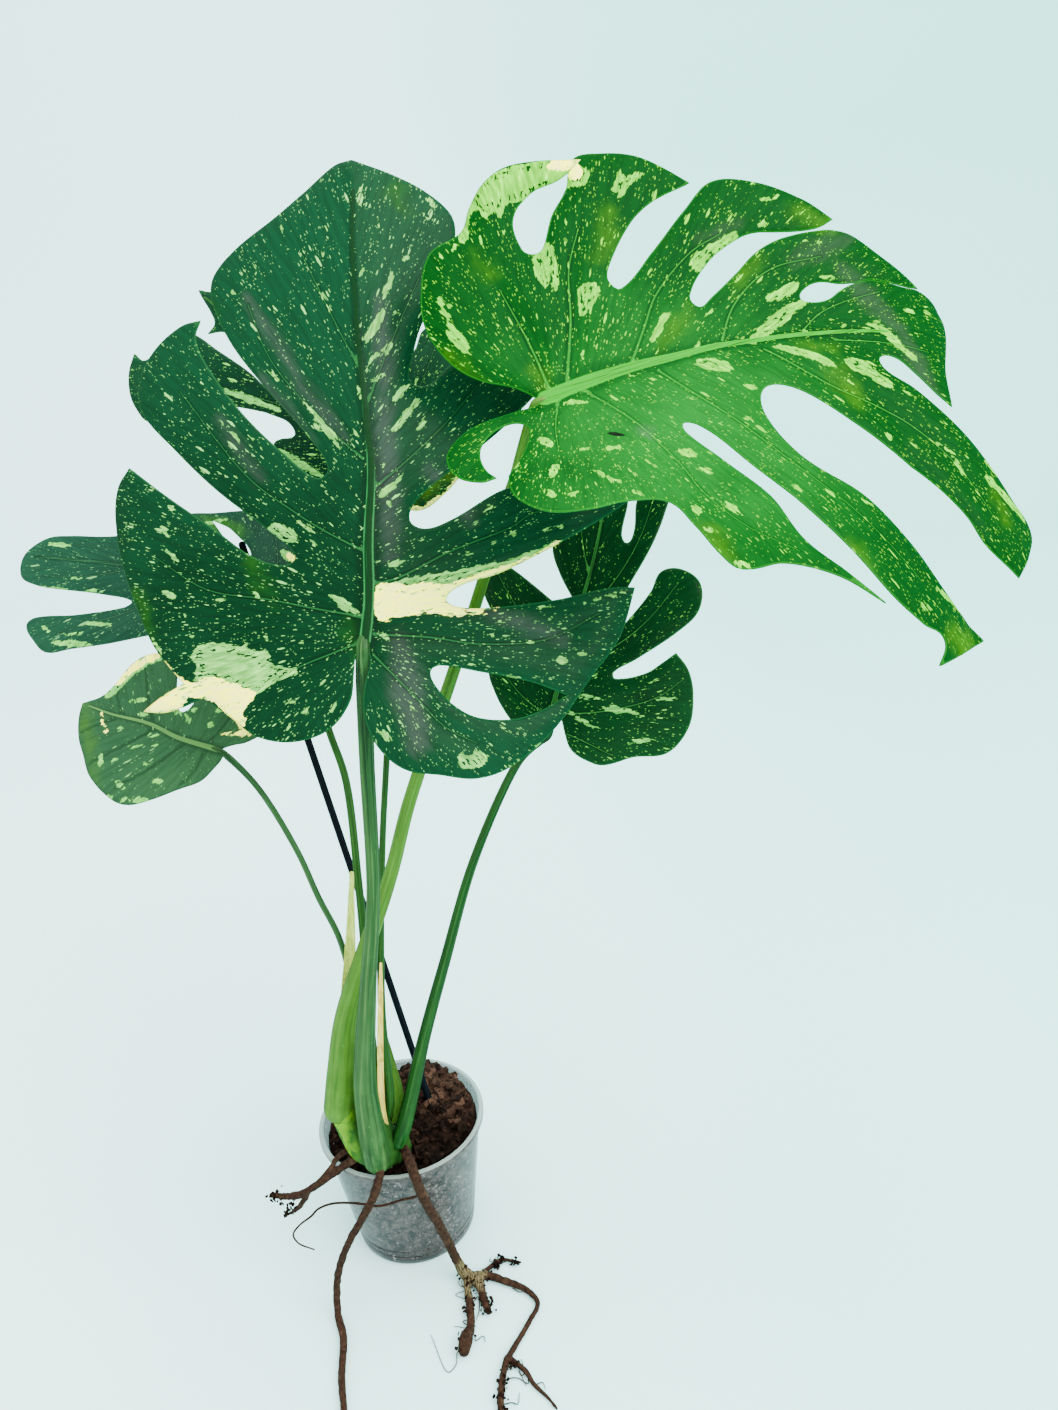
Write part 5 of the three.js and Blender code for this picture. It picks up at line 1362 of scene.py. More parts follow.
LEAF_2_MARKS = {
    "pale": [
        [(-86, -8), (-100, -2), (-111, 8), (-116, 18), (-116, 29), (-115, 39), (-111, 53), (-106, 65),
         (-99, 64), (-98, 56), (-100, 45), (-99, 35), (-98, 28), (-98, 19), (-93, 14), (-97, 13),
         (-94, 7), (-100, 5), (-99, 1)],
        [(-76, 33), (-64, 33), (-58, 32), (-49, 26), (-60, 30), (-53, 23), (-59, 21), (-65, 21),
         (-71, 24), (-72, 28)],
        [(-49, 40), (-47, 49), (-42, 48), (-37, 41), (-34, 35), (-40, 35)],
        (-64, -29, -49, -28, 1.5), (-49, -29, -36, -25, 2.5), (-46, -32, -34, -27, 1.3),
        (-81, 45, -83, 46, 1.0), (-69, 40, -75, 42, 1.0), (-93, 52, -95, 53, 1.0),
        (-91, 75, -96, 91, 2.3), (-97, 81, -88, 78, 3.2),
        [(-46, 99), (-50, 107), (-53, 118), (-55, 132), (-50, 126), (-44, 116), (-39, 106), (-41, 100)],
        (-56, 143, -56, 148, 1.6), (-68, 155, -70, 160, 1.3), (-69, 149, -68, 154, 1.1),
        (-17, 96, -19, 104, 1.0),
        [(-12, 63), (-18, 69), (-24, 79), (-17, 73), (-10, 65)],
        (-6, 89, -1, 85, 1.5), (1, 79, -2, 87, 1.3), (-13, 26, -18, 30, 1.0),
        [(6, 80), (8, 90), (18, 96), (18, 88), (12, 81)],
        [(4, 113), (-4, 124), (-9, 135), (-12, 147), (-13, 157), (-7, 146), (-2, 136), (2, 125)],
        [(-17, 131), (-20, 141), (-22, 154), (-17, 149), (-15, 140)],
        (-12, 176, -14, 182, 0.8), (8, 165, 6, 173, 0.7), (6, 144, 3, 149, 0.7),
        (10, 180, 8, 193, 0.9),
        [(9, 124), (14, 136), (21, 145), (30, 151), (21, 138), (14, 128)],
        [(27, 157), (29, 168), (36, 173), (48, 179), (39, 167), (33, 159)],
        [(8, 184), (15, 195), (26, 200), (36, 203), (24, 194), (15, 189)],
        (3, 212, 4, 220, 1.9), (16, 158, 26, 176, 0.7), (7, 9, 11, 18, 2.3),
        (27, -12, 35, -9, 2.9), (44, 1, 46, 7, 1.2), (48, 9, 50, 19, 1.6), (58, -19, 51, -14, 2.2),
        (45, -31, 39, -28, 1.8), (64, 0, 71, 3, 1.9), (72, 2, 76, 6, 1.6), (62, 42, 67, 47, 3.0),
        (77, 45, 81, 48, 2.2), (101, 44, 110, 46, 2.1), (101, 29, 107, 28, 2.2), (84, 7, 88, 13, 1.2),
        (75, -25, 69, -25, 2.4), (79, -18, 75, -15, 1.7), (3, 46, 4, 51, 1.1), (9, 54, 11, 56, 1.1),
        (31, 95, 33, 100, 2.2), (50, 83, 52, 86, 1.6), (57, 86, 62, 89, 1.5), (89, 116, 92, 122, 1.2),
        (100, 100, 105, 104, 1.6), (94, 82, 101, 84, 1.2), (105, 117, 114, 128, 1.0),
        (79, 188, 89, 198, 1.1), (89, 198, 104, 203, 1.5), (72, 160, 75, 162, 2.0),
        (69, 199, 75, 204, 0.7), (82, 209, 76, 205, 0.8), (95, 224, 104, 234, 2.1),
        [(103, 217), (109, 228), (117, 238), (128, 250), (123, 236), (114, 226)],
        (134, 91, 142, 93, 3.4),
        (145, 93, 155, 97, 2.2), (156, 97, 160, 103, 1.7), (145, 134, 154, 152, 0.9),
        (156, 145, 165, 160, 2.1), (163, 127, 167, 131, 1.3), (140, 26, 142, 32, 1.9),
        (116, 26, 120, 27, 1.8), (123, 70, 132, 74, 1.5), (-85, -20, -82, -19, 1.3),
        (-84, -14, -87, -11, 1.2), (-88, -8, -93, -5, 1.0), (-70, -34, -76, -31, 1.0),
        (-83, 1, -87, 2, 1.0), (-83, 12, -86, 14, 0.7), (-60, -25, -58, -24, 1.0),
        (-44, -22, -40, -17, 0.5), (-74, 14, -75, 16, 1.0), (-67, 83, -71, 87, 0.5),
        (-43, 163, -43, 168, 0.8), (-40, 173, -43, 175, 1.1), (-44, 193, -41, 199, 1.3),
        (-33, 200, -32, 201, 1.4), (-22, 167, -19, 177, 1.2),
    ],
    "cream": [
        [(-113, 40), (-113, 54), (-109, 62), (-103, 63), (-101, 58), (-106, 52), (-107, 42)],
    ],
    "gold": [
        (-81, 70, -61, 58, 4.6), (-58, 166, -48, 180, 4.8), (-29, 119, -38, 135, 3.6),
        (-9, 68, -20, 89, 4.0), (31, 149, 51, 154, 6.7), (114, 223, 127, 224, 5.4),
        (117, 28, 135, 25, 4.4), (131, 91, 152, 96, 6.8), (-78, -5, -68, -2, 3.6),
        (-33, -36, -22, -27, 3.0), (-16, 1, -6, 5, 2.6), (182, 145, 195, 168, 12.9),
        (12, 139, 20, 154, 2.8), (-59, 77, -65, 85, 2.5),
    ],
    # Streaks of painted sheen, where ridges between the veins catch light.
    "sheen": [
        (-34, 154, -40, 192, 4.8), (-24, 181, 15, 203, 6.9), (15, 203, 55, 203, 6.2),
        (41, 34, 46, 35, 2.4), (-56, 109, -59, 133, 2.1),
    ],
    # A small tear, painted dark: partly its dry rim and partly the shade seen through it.
    "dark": [
        (37, 17, 43, 24, 1.7),
    ],
}
leaf_2_skin = leaf_skin(
    "bright_leaf_skin", near=(5, 84, 22), far=(0, 47, 8), speck=(92, 168, 24),
    rib=(26, 122, 16), side=(20, 104, 22), gold=(36, 84, 0),
    middle=(50, 50), reach=120, gloss=0.03, core=0.08,
    painted_sheen_share=0.35, pale_green=((66, 136, 18), (96, 176, 30)),
)
leaf_2_stalk_skin = stalk_skin(
    "leaf_2_stalk_skin", base=(56, 94, 25), light=(80, 120, 44), dark=(40, 78, 18), streak=0.35,
)
make_blade(
    "leaf_2_blade", "leaf_2_arched", "bright_leaf", leaf_2_skin, leaf_2_sheet,
    LEAF_2_OUTLINE, [], LEAF_2_MIDRIB, LEAF_2_VEINS, LEAF_2_MARKS,
)
make_stalk(
    "leaf_2_stalk", "leaf_2_arched", "bright_leaf", leaf_2_stalk_skin, leaf_2_sheet,
    LEAF_2_STALK, LEAF_2_STALK_RADII,
)

# Leaf 3, behind the front leaf, on a thin stalk from the back of the crown. It is a waxy sheet
# like leaf 1, but smaller, and yellow along one lobe's edge.
LEAF_3_OUTLINE = [
    (0, -1), (-5, -7), (-15, -12), (-37, -7), (-43, 14), (-42, 35), (-40, 54), (-40, 66), (-36, 72),
    (-31, 71), (-26, 67.5), (-22.5, 67), (-20.5, 71), (-21, 78), (-25, 86), (-29, 93), (-45, 113),
    (-62, 128), (-78, 135), (-91, 143), (-92, 156), (-89, 168), (-81, 180), (-71, 187, 1), (-68, 177),
    (-47, 175), (-34, 168), (-27, 145), (-20, 118), (-17, 98), (-11, 95), (-10, 112), (-12, 139),
    (-16, 152), (-25, 159, 1), (-17.5, 161), (-14.5, 170), (-13.5, 178), (-12, 188, 1), (-6, 180),
    (4, 178), (18, 157), (22, 129), (21, 103), (29, 99), (37, 118), (47, 139), (63, 147, 1),
    (75, 124), (78, 99), (68, 82), (60, 68), (68, 62), (84, 70), (94, 60), (92, 42), (74, 26),
    (62, 2), (53, -14), (38, -20), (25, -22), (12, -22), (4, -17), (2, -7),
]
LEAF_3_STALK = [
    (-3, -36, 130), (1, -37, 146), (3, -28, 207), (8.5, -18, 263), (17, 0, 330), (25, 12, 380),
    (36, 30, 452), (42, 44, 515),
]
LEAF_3_STALK_RADII = [3.4, 3.2, 2.6, 2.3, 2.1, 2.1, 2.1, 2.5]
leaf_3_sheet = Sheet(
    joint=(44, 50, 541),
    heading=88,
    rise=66,
    roll=0,
    half=150,
    stations=[-80, 0, 80, 160, 240],
    droop=[0, 0, 4, 10, 20],
    sway=[-35, -35, -35, -35, -35],
    left=[[4, 6, 10, 16]],
    right=[[4, 6, 10, 16]],
)
LEAF_3_MIDRIB = {"line": [(0, 2), (0, 60), (-2, 120), (-12, 182)], "halves": [2.0, 1.2, 0.7]}
LEAF_3_VEINS = [
    ([(-1, 8), (-18, 16), (-34, 30)], 1.2),
    ([(-1, 60), (-20, 92), (-45, 132), (-68, 162)], 1.2),
    ([(-1, 100), (-8, 130), (-16, 160)], 0.9),
    ([(0, 4), (22, -3), (44, -8)], 1.1),
    ([(1, 20), (28, 32), (58, 42), (84, 58)], 1.2),
    ([(1, 62), (24, 82), (46, 108), (61, 140)], 1.1),
    ([(0, 110), (8, 135), (8, 160)], 0.9),
]
LEAF_3_MARKS = {
    "pale": [
        (-60, 120, -78, 152, 1.6), (-36, 96, -54, 124, 1.8), (40, 70, 66, 76, 2),
        (20, 40, 44, 50, 1.2), (-39, 120, -20, 86, 2.5), (-39, 72, -25, 33, 2.5),
        (-31, 104, -21, 88, 1.6),
    ],
    "cream": [
        (2, -14, 10, -22, 2.4), (10, -22, 26, -23, 2.6), (26, -23, 46, -19, 2.2),
    ],
    "gold": [
        (39, -13, 8, -13, 3.1),
    ],
}
leaf_3_skin = leaf_skin(
    "back_leaf_skin", near=(2, 34, 18), far=(9, 46, 26), speck=(104, 170, 72),
    rib=(34, 78, 34), side=(28, 72, 36), gold=(60, 100, 8),
)
leaf_3_stalk_skin = stalk_skin(
    "leaf_3_stalk_skin", base=(22, 58, 18), light=(44, 80, 30), dark=(12, 40, 12),
)
make_blade(
    "leaf_3_blade", "leaf_3_back", "dark_leaf", leaf_3_skin, leaf_3_sheet,
    LEAF_3_OUTLINE, [], LEAF_3_MIDRIB, LEAF_3_VEINS, LEAF_3_MARKS,
)
make_stalk(
    "leaf_3_stalk", "leaf_3_back", "dark_leaf", leaf_3_stalk_skin, leaf_3_sheet,
    LEAF_3_STALK, LEAF_3_STALK_RADII,
)

# Leaf 4, at the far left on a thin stalk from the back of the crown, with its tip level. It is
# a waxy sheet with one slit that is closed at the edge, and pale marks on its lower lobe.
LEAF_4_OUTLINE = [
    (0, -1), (6, -7), (16, -9), (42, -2), (65, 15), (72, 33), (67, 52), (61, 68), (57, 84), (44, 101),
    (29, 123), (27, 158), (25, 173), (13, 182), (1, 182), (-13, 175), (-19, 163), (-22, 149),
    (-25, 110), (-28, 92), (-34, 95), (-43, 122), (-47, 150), (-53, 154), (-65, 144), (-73, 132),
    (-69, 117), (-63, 96), (-53, 72), (-44, 52), (-46, 46), (-55, 54), (-67, 55), (-74, 32), (-65, 7),
    (-44, -9), (-21, -13), (-5, -8),
]
LEAF_4_HOLE = [
    (54, 67, 1), (41, 55.5), (31, 47), (22, 37), (20, 31), (26, 30), (35, 36), (41, 43), (49, 53),
]
LEAF_4_STALK = [
    (-10, -34, 132), (-8, -26, 156), (-8, -20, 186), (-5, -12, 242), (-3, -2, 302), (-5, 20, 363),
    (-13, 33, 392), (-24, 50, 444), (-31, 60, 473),
]
LEAF_4_STALK_RADII = [3.4, 3.2, 3, 2.8, 2.6, 2.5, 2.4, 2.3, 2.6]
leaf_4_sheet = Sheet(
    joint=(-33, 64, 482),
    heading=180,
    rise=12,
    roll=30,
    half=150,
    stations=[-80, 0, 80, 160, 240],
    droop=[0, 0, 6, 14, 22],
    sway=[6, 6, 6, 6, 6],
    left=[[2, 6, 10, 14]],
    right=[[0, 2, 4, 6]],
)
LEAF_4_MIDRIB = {"line": [(0, 2), (0, 60), (2, 120), (6, 174)], "halves": [2.0, 1.2, 0.7]}
LEAF_4_VEINS = [
    ([(-1, 12), (-25, 18), (-50, 25), (-68, 35)], 1.2),
    ([(-1, 55), (-20, 70), (-40, 95), (-58, 130)], 1.2),
    ([(0, 100), (-10, 125), (-12, 160)], 0.9),
    ([(1, 8), (25, 12), (50, 22), (66, 35)], 1.2),
    ([(1, 50), (20, 62), (44, 82)], 1.1),
    ([(2, 90), (14, 115), (18, 150)], 0.9),
]
LEAF_4_MARKS = {
    "pale": [
        (-66, 130, -65.5, 106, 2.4), (-59, 128, -58, 112, 1.2), (-49.5, 116, -49.5, 98, 1.6),
        (-54, 142, -58, 136, 1.4), (-22, 170, -22.5, 138, 1.3), (-23, 128, -22.5, 112, 1.4),
        (-14, 144, -13, 132, 1.2), (58, 40, 68, 44, 1.6), (42, 78, 57, 56, 2.1), (34, 11, 24, -1, 3.7),
        (18, 169, 16, 153, 2.2),
    ],
    "cream": [
        (12, -8, 26, -9, 2.2), (32, 7, 25, 0, 2.8),
    ],
    "gold": [
        (54, 68, 43, 44, 6.7),
    ],
}
leaf_4_skin = leaf_skin(
    "left_leaf_skin", near=(10, 44, 30), far=(20, 56, 38), speck=(84, 140, 82),
    rib=(24, 62, 38), side=(34, 72, 46), gold=(40, 92, 22),
    amount=0.7,
)
leaf_4_stalk_skin = stalk_skin(
    "leaf_4_stalk_skin", base=(24, 60, 18), light=(52, 96, 36), dark=(12, 42, 12),
)
make_blade(
    "leaf_4_blade", "leaf_4_left", "dark_leaf", leaf_4_skin, leaf_4_sheet,
    LEAF_4_OUTLINE, [LEAF_4_HOLE], LEAF_4_MIDRIB, LEAF_4_VEINS, LEAF_4_MARKS,
)
make_stalk(
    "leaf_4_stalk", "leaf_4_left", "dark_leaf", leaf_4_stalk_skin, leaf_4_sheet,
    LEAF_4_STALK, LEAF_4_STALK_RADII,
)

# Leaf 5, the small young leaf low on the left, on the thinnest stalk. It is one soft satin
# sheet without splits, and its far edge is curled up along a cream band.
LEAF_5_OUTLINE = [
    (0, -1), (-3, -4), (-11, -2), (-20, 2), (-28, 12), (-38, 25), (-45, 38), (-45, 50), (-36, 71),
    (-25, 83), (-15, 94), (-2, 103), (6, 106, 1), (14, 91), (37, 80), (46, 63), (42, 54), (35, 46, 1),
    (26, 42), (18, 37), (15, 33), (18, 29), (25, 27), (31, 22), (32, 12), (26, -2), (15, -19, 1),
    (9, -13), (5, -6),
]
LEAF_5_STALK = [
    (-16, -35, 136), (-18, -26, 162), (-16, -22, 202), (-15, -23.5, 250), (-16.5, -28, 276),
    (-22, -38, 311), (-28, -43, 346), (-39, -46, 383), (-46, -48, 400), (-55, -51, 416),
]
LEAF_5_STALK_RADII = [2.8, 2.6, 2.2, 2, 2, 1.9, 1.8, 1.8, 1.8, 2]
leaf_5_sheet = Sheet(
    joint=(-60, -52, 422),
    heading=160,
    rise=14,
    roll=42,
    half=60,
    stations=[-80, 0, 50, 100, 160],
    droop=[0, 0, 6, 20, 40],
    sway=[0, 0, 0, 0, 0],
    left=[[0, 2, 6, 16]],
    right=[[0, 0, -12, -35]],
)
LEAF_5_MIDRIB = {"line": [(0, 0), (0, 27), (3, 48), (3, 77), (5, 98)], "halves": [1.5, 1.0, 0.5]}
LEAF_5_VEINS = [
    ([(-1, 8), (-16, 8), (-27, 13)], 0.8),
    ([(0, 20), (-20, 33), (-38, 50)], 0.8),
    ([(2, 42), (-16, 60), (-30, 76)], 0.8),
    ([(4, 66), (-6, 84), (-12, 93)], 0.7),
    ([(1, 8), (12, 4), (24, 2)], 0.8),
    ([(4, 46), (18, 58), (36, 70)], 0.8),
    ([(4, 68), (12, 78), (20, 84)], 0.7),
]
LEAF_5_MARKS = {
    "pale": [
        [(14, 92), (26, 86), (39, 77), (48, 61), (44, 58), (38, 67), (28, 76), (19, 81), (12, 86)],
        (-30, 66, -22, 70, 1.6), (-38, 44, -34, 52, 1.5), (10, 24, 14, 28, 1.6), (-4, 68, -4, 62, 1.3),
        (-4, 46, -2, 39, 1.2), (-14, 54, -11, 46, 1.5), (-9, 40, -8, 36, 1.2), (-28, 30, -27, 23, 1.6),
        (-47, 57, -44, 49, 2.4), (-42, 36, -40, 27, 2.4), (13, 69, 17, 58, 1.6), (14, 36, 15, 32, 2.2),
        (18, 26, 19, 24, 2.0), (22, 12, 23, 9, 2.2), (12, 12, 13, 11, 3.0), (-20, 40, -19, 36, 1.1),
        (-24, 62, -22, 56, 1.1), (6, 60, 8, 52, 1.2), (-44, 44, -42, 40, 1.6),
    ],
    "cream": [
        [(22, 88), (30, 84), (40, 76), (47, 62), (43, 62), (36, 72), (28, 79), (22, 82)],
        (14, -12, 24, 2, 1.6), (9, 2, 16, -17, 1.4), (3, 86, -4, 80, 1.1), (-4, 80, -10, 71, 1.0),
    ],
    "gold": [
        (5, 103, -40, 63, 3.4),
    ],
}
LEAF_5_PLEAT = 0.9
leaf_5_skin = leaf_skin(
    "young_leaf_skin", near=(30, 62, 38), far=(40, 74, 44), speck=(90, 146, 80),
    rib=(64, 104, 52), side=(18, 46, 26), gold=(46, 84, 26),
    amount=0.3, core=0.0,
)
leaf_5_stalk_skin = stalk_skin(
    "leaf_5_stalk_skin", base=(34, 62, 30), light=(60, 92, 50), dark=(18, 44, 18),
)
make_blade(
    "leaf_5_blade", "leaf_5_small", "young_leaf", leaf_5_skin, leaf_5_sheet,
    LEAF_5_OUTLINE, [], LEAF_5_MIDRIB, LEAF_5_VEINS, LEAF_5_MARKS, pleat=LEAF_5_PLEAT,
)
make_stalk(
    "leaf_5_stalk", "leaf_5_small", "young_leaf", leaf_5_stalk_skin, leaf_5_sheet,
    LEAF_5_STALK, LEAF_5_STALK_RADII,
)

# Leaf 6, at the right behind the two large leaves, on a stalk from the right of the crown,
# with its tip up. It is a waxy sheet with paler veins than the other dark leaves have.
LEAF_6_OUTLINE = [
    (0, -1), (2.5, 3), (4, 9), (5.5, 13), (7, 11.5), (12, 1.5), (16, -5), (21, -8.5), (28, -10.5),
    (36, -11.4), (43, -9), (55, -2), (74, 5), (83, 23), (81, 43), (75, 56), (66, 64, 1), (60, 57),
    (51, 48), (34, 41), (32, 45), (44, 56), (64, 77), (73, 92), (70, 108), (57, 114), (46, 110),
    (43, 97), (34, 78), (26, 66), (22, 71), (28, 95), (36, 123), (39, 145), (38, 165), (27, 175, 1),
    (21, 151), (24, 132), (22, 123), (17, 127), (15, 150), (4, 178, 1), (-11, 165), (-26, 137),
    (-24, 112), (-15, 97), (2, 77), (2, 70), (-15, 79), (-46, 94), (-62, 99, 1), (-67, 84), (-47, 59),
    (-24, 45), (-27, 38), (-41, 40), (-48, 32), (-39, 16), (-23, 1), (-7, -7),
]
LEAF_6_STALK = [
    (4, -46, 118), (9, -46, 130), (16.5, -42, 152), (31, -37, 198), (50, -32, 251), (76.5, -26, 322),
    (110, -20, 384), (122, -18, 395),
]
LEAF_6_STALK_RADII = [5.2, 5.6, 5, 4.2, 3.6, 2.9, 2.6, 3.6]
leaf_6_sheet = Sheet(
    joint=(128, -18, 400),
    heading=80,
    rise=66,
    roll=10,
    half=150,
    stations=[-80, 0, 80, 160, 240],
    droop=[0, 0, 4, 10, 20],
    sway=[14, 14, 14, 14, 14],
    left=[[4, 6, 10, 16]],
    right=[[4, 6, 10, 16]],
)

LEAF_6_MIDRIB = {"line": [(0, 2), (2, 60), (4, 110), (0, 168)], "halves": [1.7, 1.1, 0.6]}
LEAF_6_VEINS = [
    ([(-1, 10), (-20, 18), (-40, 32)], 1.2),
    ([(0, 40), (-20, 56), (-45, 78), (-59, 93)], 1.3),
    ([(3, 100), (-8, 125), (-12, 150)], 0.9),
    ([(1, 4), (20, 1), (42, -4)], 1.3),
    ([(1, 12), (30, 20), (60, 35), (74, 50)], 1.3),
    ([(2, 40), (25, 56), (44, 78), (58, 106)], 1.3),
    ([(3, 72), (18, 95), (28, 125), (31, 160)], 1.1),
]
LEAF_6_MARKS = {
    "pale": [
        (30, 22, 44, 24, 1.8), (50, 6, 62, 10, 1.6), (20, 60, 30, 66, 1.2), (60, 34, 72, 38, 1.4),
        (8, 16, 32, 9, 1.2), (9, 25, 33, 29, 1.2), (35, 25, 56, 23, 1.5), (14, 42, 25, 39, 1.2),
    ],
    "cream": [],
}
leaf_6_skin = leaf_skin(
    "right_leaf_skin", near=(2, 34, 12), far=(10, 50, 20), speck=(100, 170, 66),
    rib=(34, 84, 34), side=(40, 96, 40), gold=(24, 70, 10),
    amount=0.7,
)
leaf_6_stalk_skin = stalk_skin(
    "leaf_6_stalk_skin", base=(12, 46, 14), light=(40, 84, 30), dark=(6, 32, 10), joint_from=296,
)
make_blade(
    "leaf_6_blade", "leaf_6_right", "dark_leaf", leaf_6_skin, leaf_6_sheet,
    LEAF_6_OUTLINE, [], LEAF_6_MIDRIB, LEAF_6_VEINS, LEAF_6_MARKS,
)
make_stalk(
    "leaf_6_stalk", "leaf_6_right", "dark_leaf", leaf_6_stalk_skin, leaf_6_sheet,
    LEAF_6_STALK, LEAF_6_STALK_RADII,
)

# Sheaths. Papery strips that once wrapped a young leaf, two dry and cream with brown fibres
# and one still green. They stand up from the crown beside the stalks. A row gives the names
# and the slot, the way that the strip faces, its widths and its route.
SHEATHS = [
    ("dry_sheath_left_strip", "dry_sheath_left", "dry_sheath", (0.2, -1, 0), [7, 7.5, 7.5, 7.5, 7, 2.6],
     [(-22, -33, 150), (-24.5, -30, 180), (-21, -29.5, 212), (-15, -31, 241), (-9.5, -32, 267),
      (0, -33, 324)]),
    ("dry_sheath_right_strip", "dry_sheath_right", "dry_sheath", (0.1, -1, 0), [4.4, 4.4, 4, 3, 1.5],
     [(-3, -46, 134), (-3, -46, 150), (3, -47, 203), (9, -48, 245), (12, -49, 266)]),
    ("green_sheath_strip", "green_sheath", "green_sheath", (0.5, -1, 0.3), [6, 7, 5, 2],
     [(2, -37, 126), (7, -35, 146), (5.5, -30, 166), (2, -22, 192)]),
]
SHEATH_THICKNESS = 1
SHEATH_CURL = 1.3
SHEATH_ACROSS = 14
SHEATH_RINGS = 60
SHEATH_WAVES = 9
SHEATH_WAVE = 0.5
SHEATH_SET_BACK = 0.4
FIBRE_BROWN = (110, 76, 30)
STAIN_BROWN = (120, 96, 34)


def sheath_strip(route, widths, facing, seed):
    """A strip that tapers and whose edges curl forward, wavy along its length."""
    at = np.linspace(0, 1, SHEATH_RINGS + 1)
    middles = spline(route, at)
    ahead = np.gradient(middles, axis=0)
    ahead /= np.linalg.norm(ahead, axis=1)[:, None]
    half = np.interp(at, np.linspace(0, 1, len(widths)), widths) / 2
    points = []
    for i in range(SHEATH_RINGS + 1):
        across = np.cross(ahead[i], facing)
        across /= np.linalg.norm(across)
        out = np.cross(across, ahead[i])
        wave = SHEATH_WAVE * noise.noise(Vector((at[i] * SHEATH_WAVES, seed, 0)))
        for face in (1, -1):
            for k in range(SHEATH_ACROSS + 1):
                x = (2 * k / SHEATH_ACROSS - 1) * face
                thin = 0.5 * SHEATH_THICKNESS * math.sqrt(max(0.05, 1 - x * x))
                curl = SHEATH_CURL * x * x * min(1, half[i] / 3)
                lift = curl + wave * x + face * thin - SHEATH_SET_BACK
                points.append(middles[i] + across * x * half[i] + out * lift)
    around = 2 * (SHEATH_ACROSS + 1)
    faces = []
    for i in range(SHEATH_RINGS):
        low, high = i * around, (i + 1) * around
        for k in range(around):
            n = (k + 1) % around
            faces.append((low + k, low + n, high + n, high + k))
    last = SHEATH_RINGS * around
    faces.append(tuple(range(around - 1, -1, -1)))
    faces.append(tuple(range(last, last + around)))
    return np.array(points), faces


def dry_paper(name, dull, bright):
    """Dry papery skin with fine fibres along it and a few brown stains."""
    skin = Finish(name, 0.75, 0.03)
    spot = skin.place()
    fibre = skin.cloud(skin.scaled(spot, (1, 1, 0.04)), 0.7, 3)
    paper = skin.blend(skin.ease(fibre, 0.35, 0.65), paint(*dull), paint(*bright))
    paper = skin.blend(skin.ease(fibre, 0.68, 0.74), paper, paint(*FIBRE_BROWN))
    stain = skin.ease(skin.cloud(spot, 14, 3), 0.58, 0.74)
    skin.color(skin.blend(skin.times(stain, 0.6), paper, paint(*STAIN_BROWN)))
    skin.bump(fibre, 0.4)
    return skin


green_paper = Finish("green_sheath_skin", 0.5, 0.0, 0.1)
spot = green_paper.place()
fibre = green_paper.cloud(green_paper.scaled(spot, (1, 1, 0.06)), 0.9, 3)
green_paper.color(green_paper.blend(fibre, paint(26, 62, 16), paint(66, 100, 30)))
green_paper.bump(fibre, 0.3)
SHEATH_SKINS = [
    dry_paper("left_sheath_paper", (136, 158, 50), (190, 196, 96)),
    dry_paper("right_sheath_paper", (188, 160, 60), (224, 196, 100)),
    green_paper,
]
for seed, (name, node, slot, facing, widths, route) in enumerate(SHEATHS):
    points, faces = sheath_strip(route, widths, facing, seed)
    make_piece(name, points, faces, SHEATH_SKINS[seed], slot, node)

# Aerial roots. Brown and woody, they grow from the underside of the stem, hang over the rim
# and lie along the surface. The right one is forked, hairy and caked with soil.
FRONT_ROOT = [
    ([(-10, -53, 108), (-9, -62, 105), (-15, -68, 92), (-25, -71, 76), (-36, -73, 58), (-46, -74, 34),
      (-50, -76, 12), (-49, -84, 3.8), (-44, -98, 3.2), (-41, -129, 2.9), (-37, -150, 2.7),
      (-36, -172, 2.4)],
     [3, 3, 3, 2.8, 2.7, 2.6, 2.6, 2.7, 2.7, 2.5, 2.3, 1.8]),
]
RIGHT_ROOT = [
    ([(7, -46, 111), (11, -56, 112), (16, -68, 106), (20, -71, 90), (26, -68, 66), (31, -64, 40),
      (35, -60, 16), (40, -61, 5), (47, -66, 4), (53, -81, 3.4)],
     [3.2, 3.4, 3.6, 3.4, 3.3, 3.2, 3.4, 4.4, 4, 1.6]),
    ([(39, -62, 5), (41, -76, 3.2), (43, -92, 3.2), (43, -103, 3.2)], [2.4, 2.8, 2.8, 2.8]),
    ([(43, -100, 3.4), (40, -110, 5), (39, -117, 4.4)], [2.6, 5, 4]),
    ([(44, -61, 4), (55, -61, 3.2), (66, -66, 2.8), (81, -74, 2.4), (89, -85, 2), (83, -98, 1.9),
      (74, -113, 2), (67, -125, 2.4)], [3.2, 2.8, 2.6, 2.2, 1.8, 1.8, 1.9, 2.2]),
    ([(67, -124, 2.4), (64, -139, 2.6), (63, -159, 2.4), (66, -172, 2.2)], [2.2, 2.4, 2.2, 1.6]),
    ([(68, -123, 2.2), (79, -133, 2), (84, -142, 1.6), (93, -152, 1.4), (98, -159, 1.2)],
     [1.8, 1.8, 1.5, 1.2, 1]),
    ([(50, -60, 3.4), (55, -54, 2.2), (64, -48, 2), (78, -51, 1.6)], [1.8, 1.8, 1.5, 1]),
    ([(49, -66, 3.6), (52, -80, 2.8), (55, -89, 2.2)], [2.6, 3, 1.8]),
]
LEFT_ROOT = [
    ([(-20, -46, 112), (-29, -50, 109), (-38, -53, 105), (-54, -56, 96), (-70, -54, 86),
      (-88, -51, 85)], [2.8, 2.8, 2.6, 2.6, 2.6, 1.6]),
    ([(-24, -44, 114), (-36, -49, 114), (-44, -53, 106), (-52, -55, 98)], [1.8, 1.9, 1.8, 1.8]),
    ([(-60, -55, 91), (-65, -54, 82), (-72, -52, 72), (-80, -51, 66)], [1.8, 2, 1.8, 1]),
]
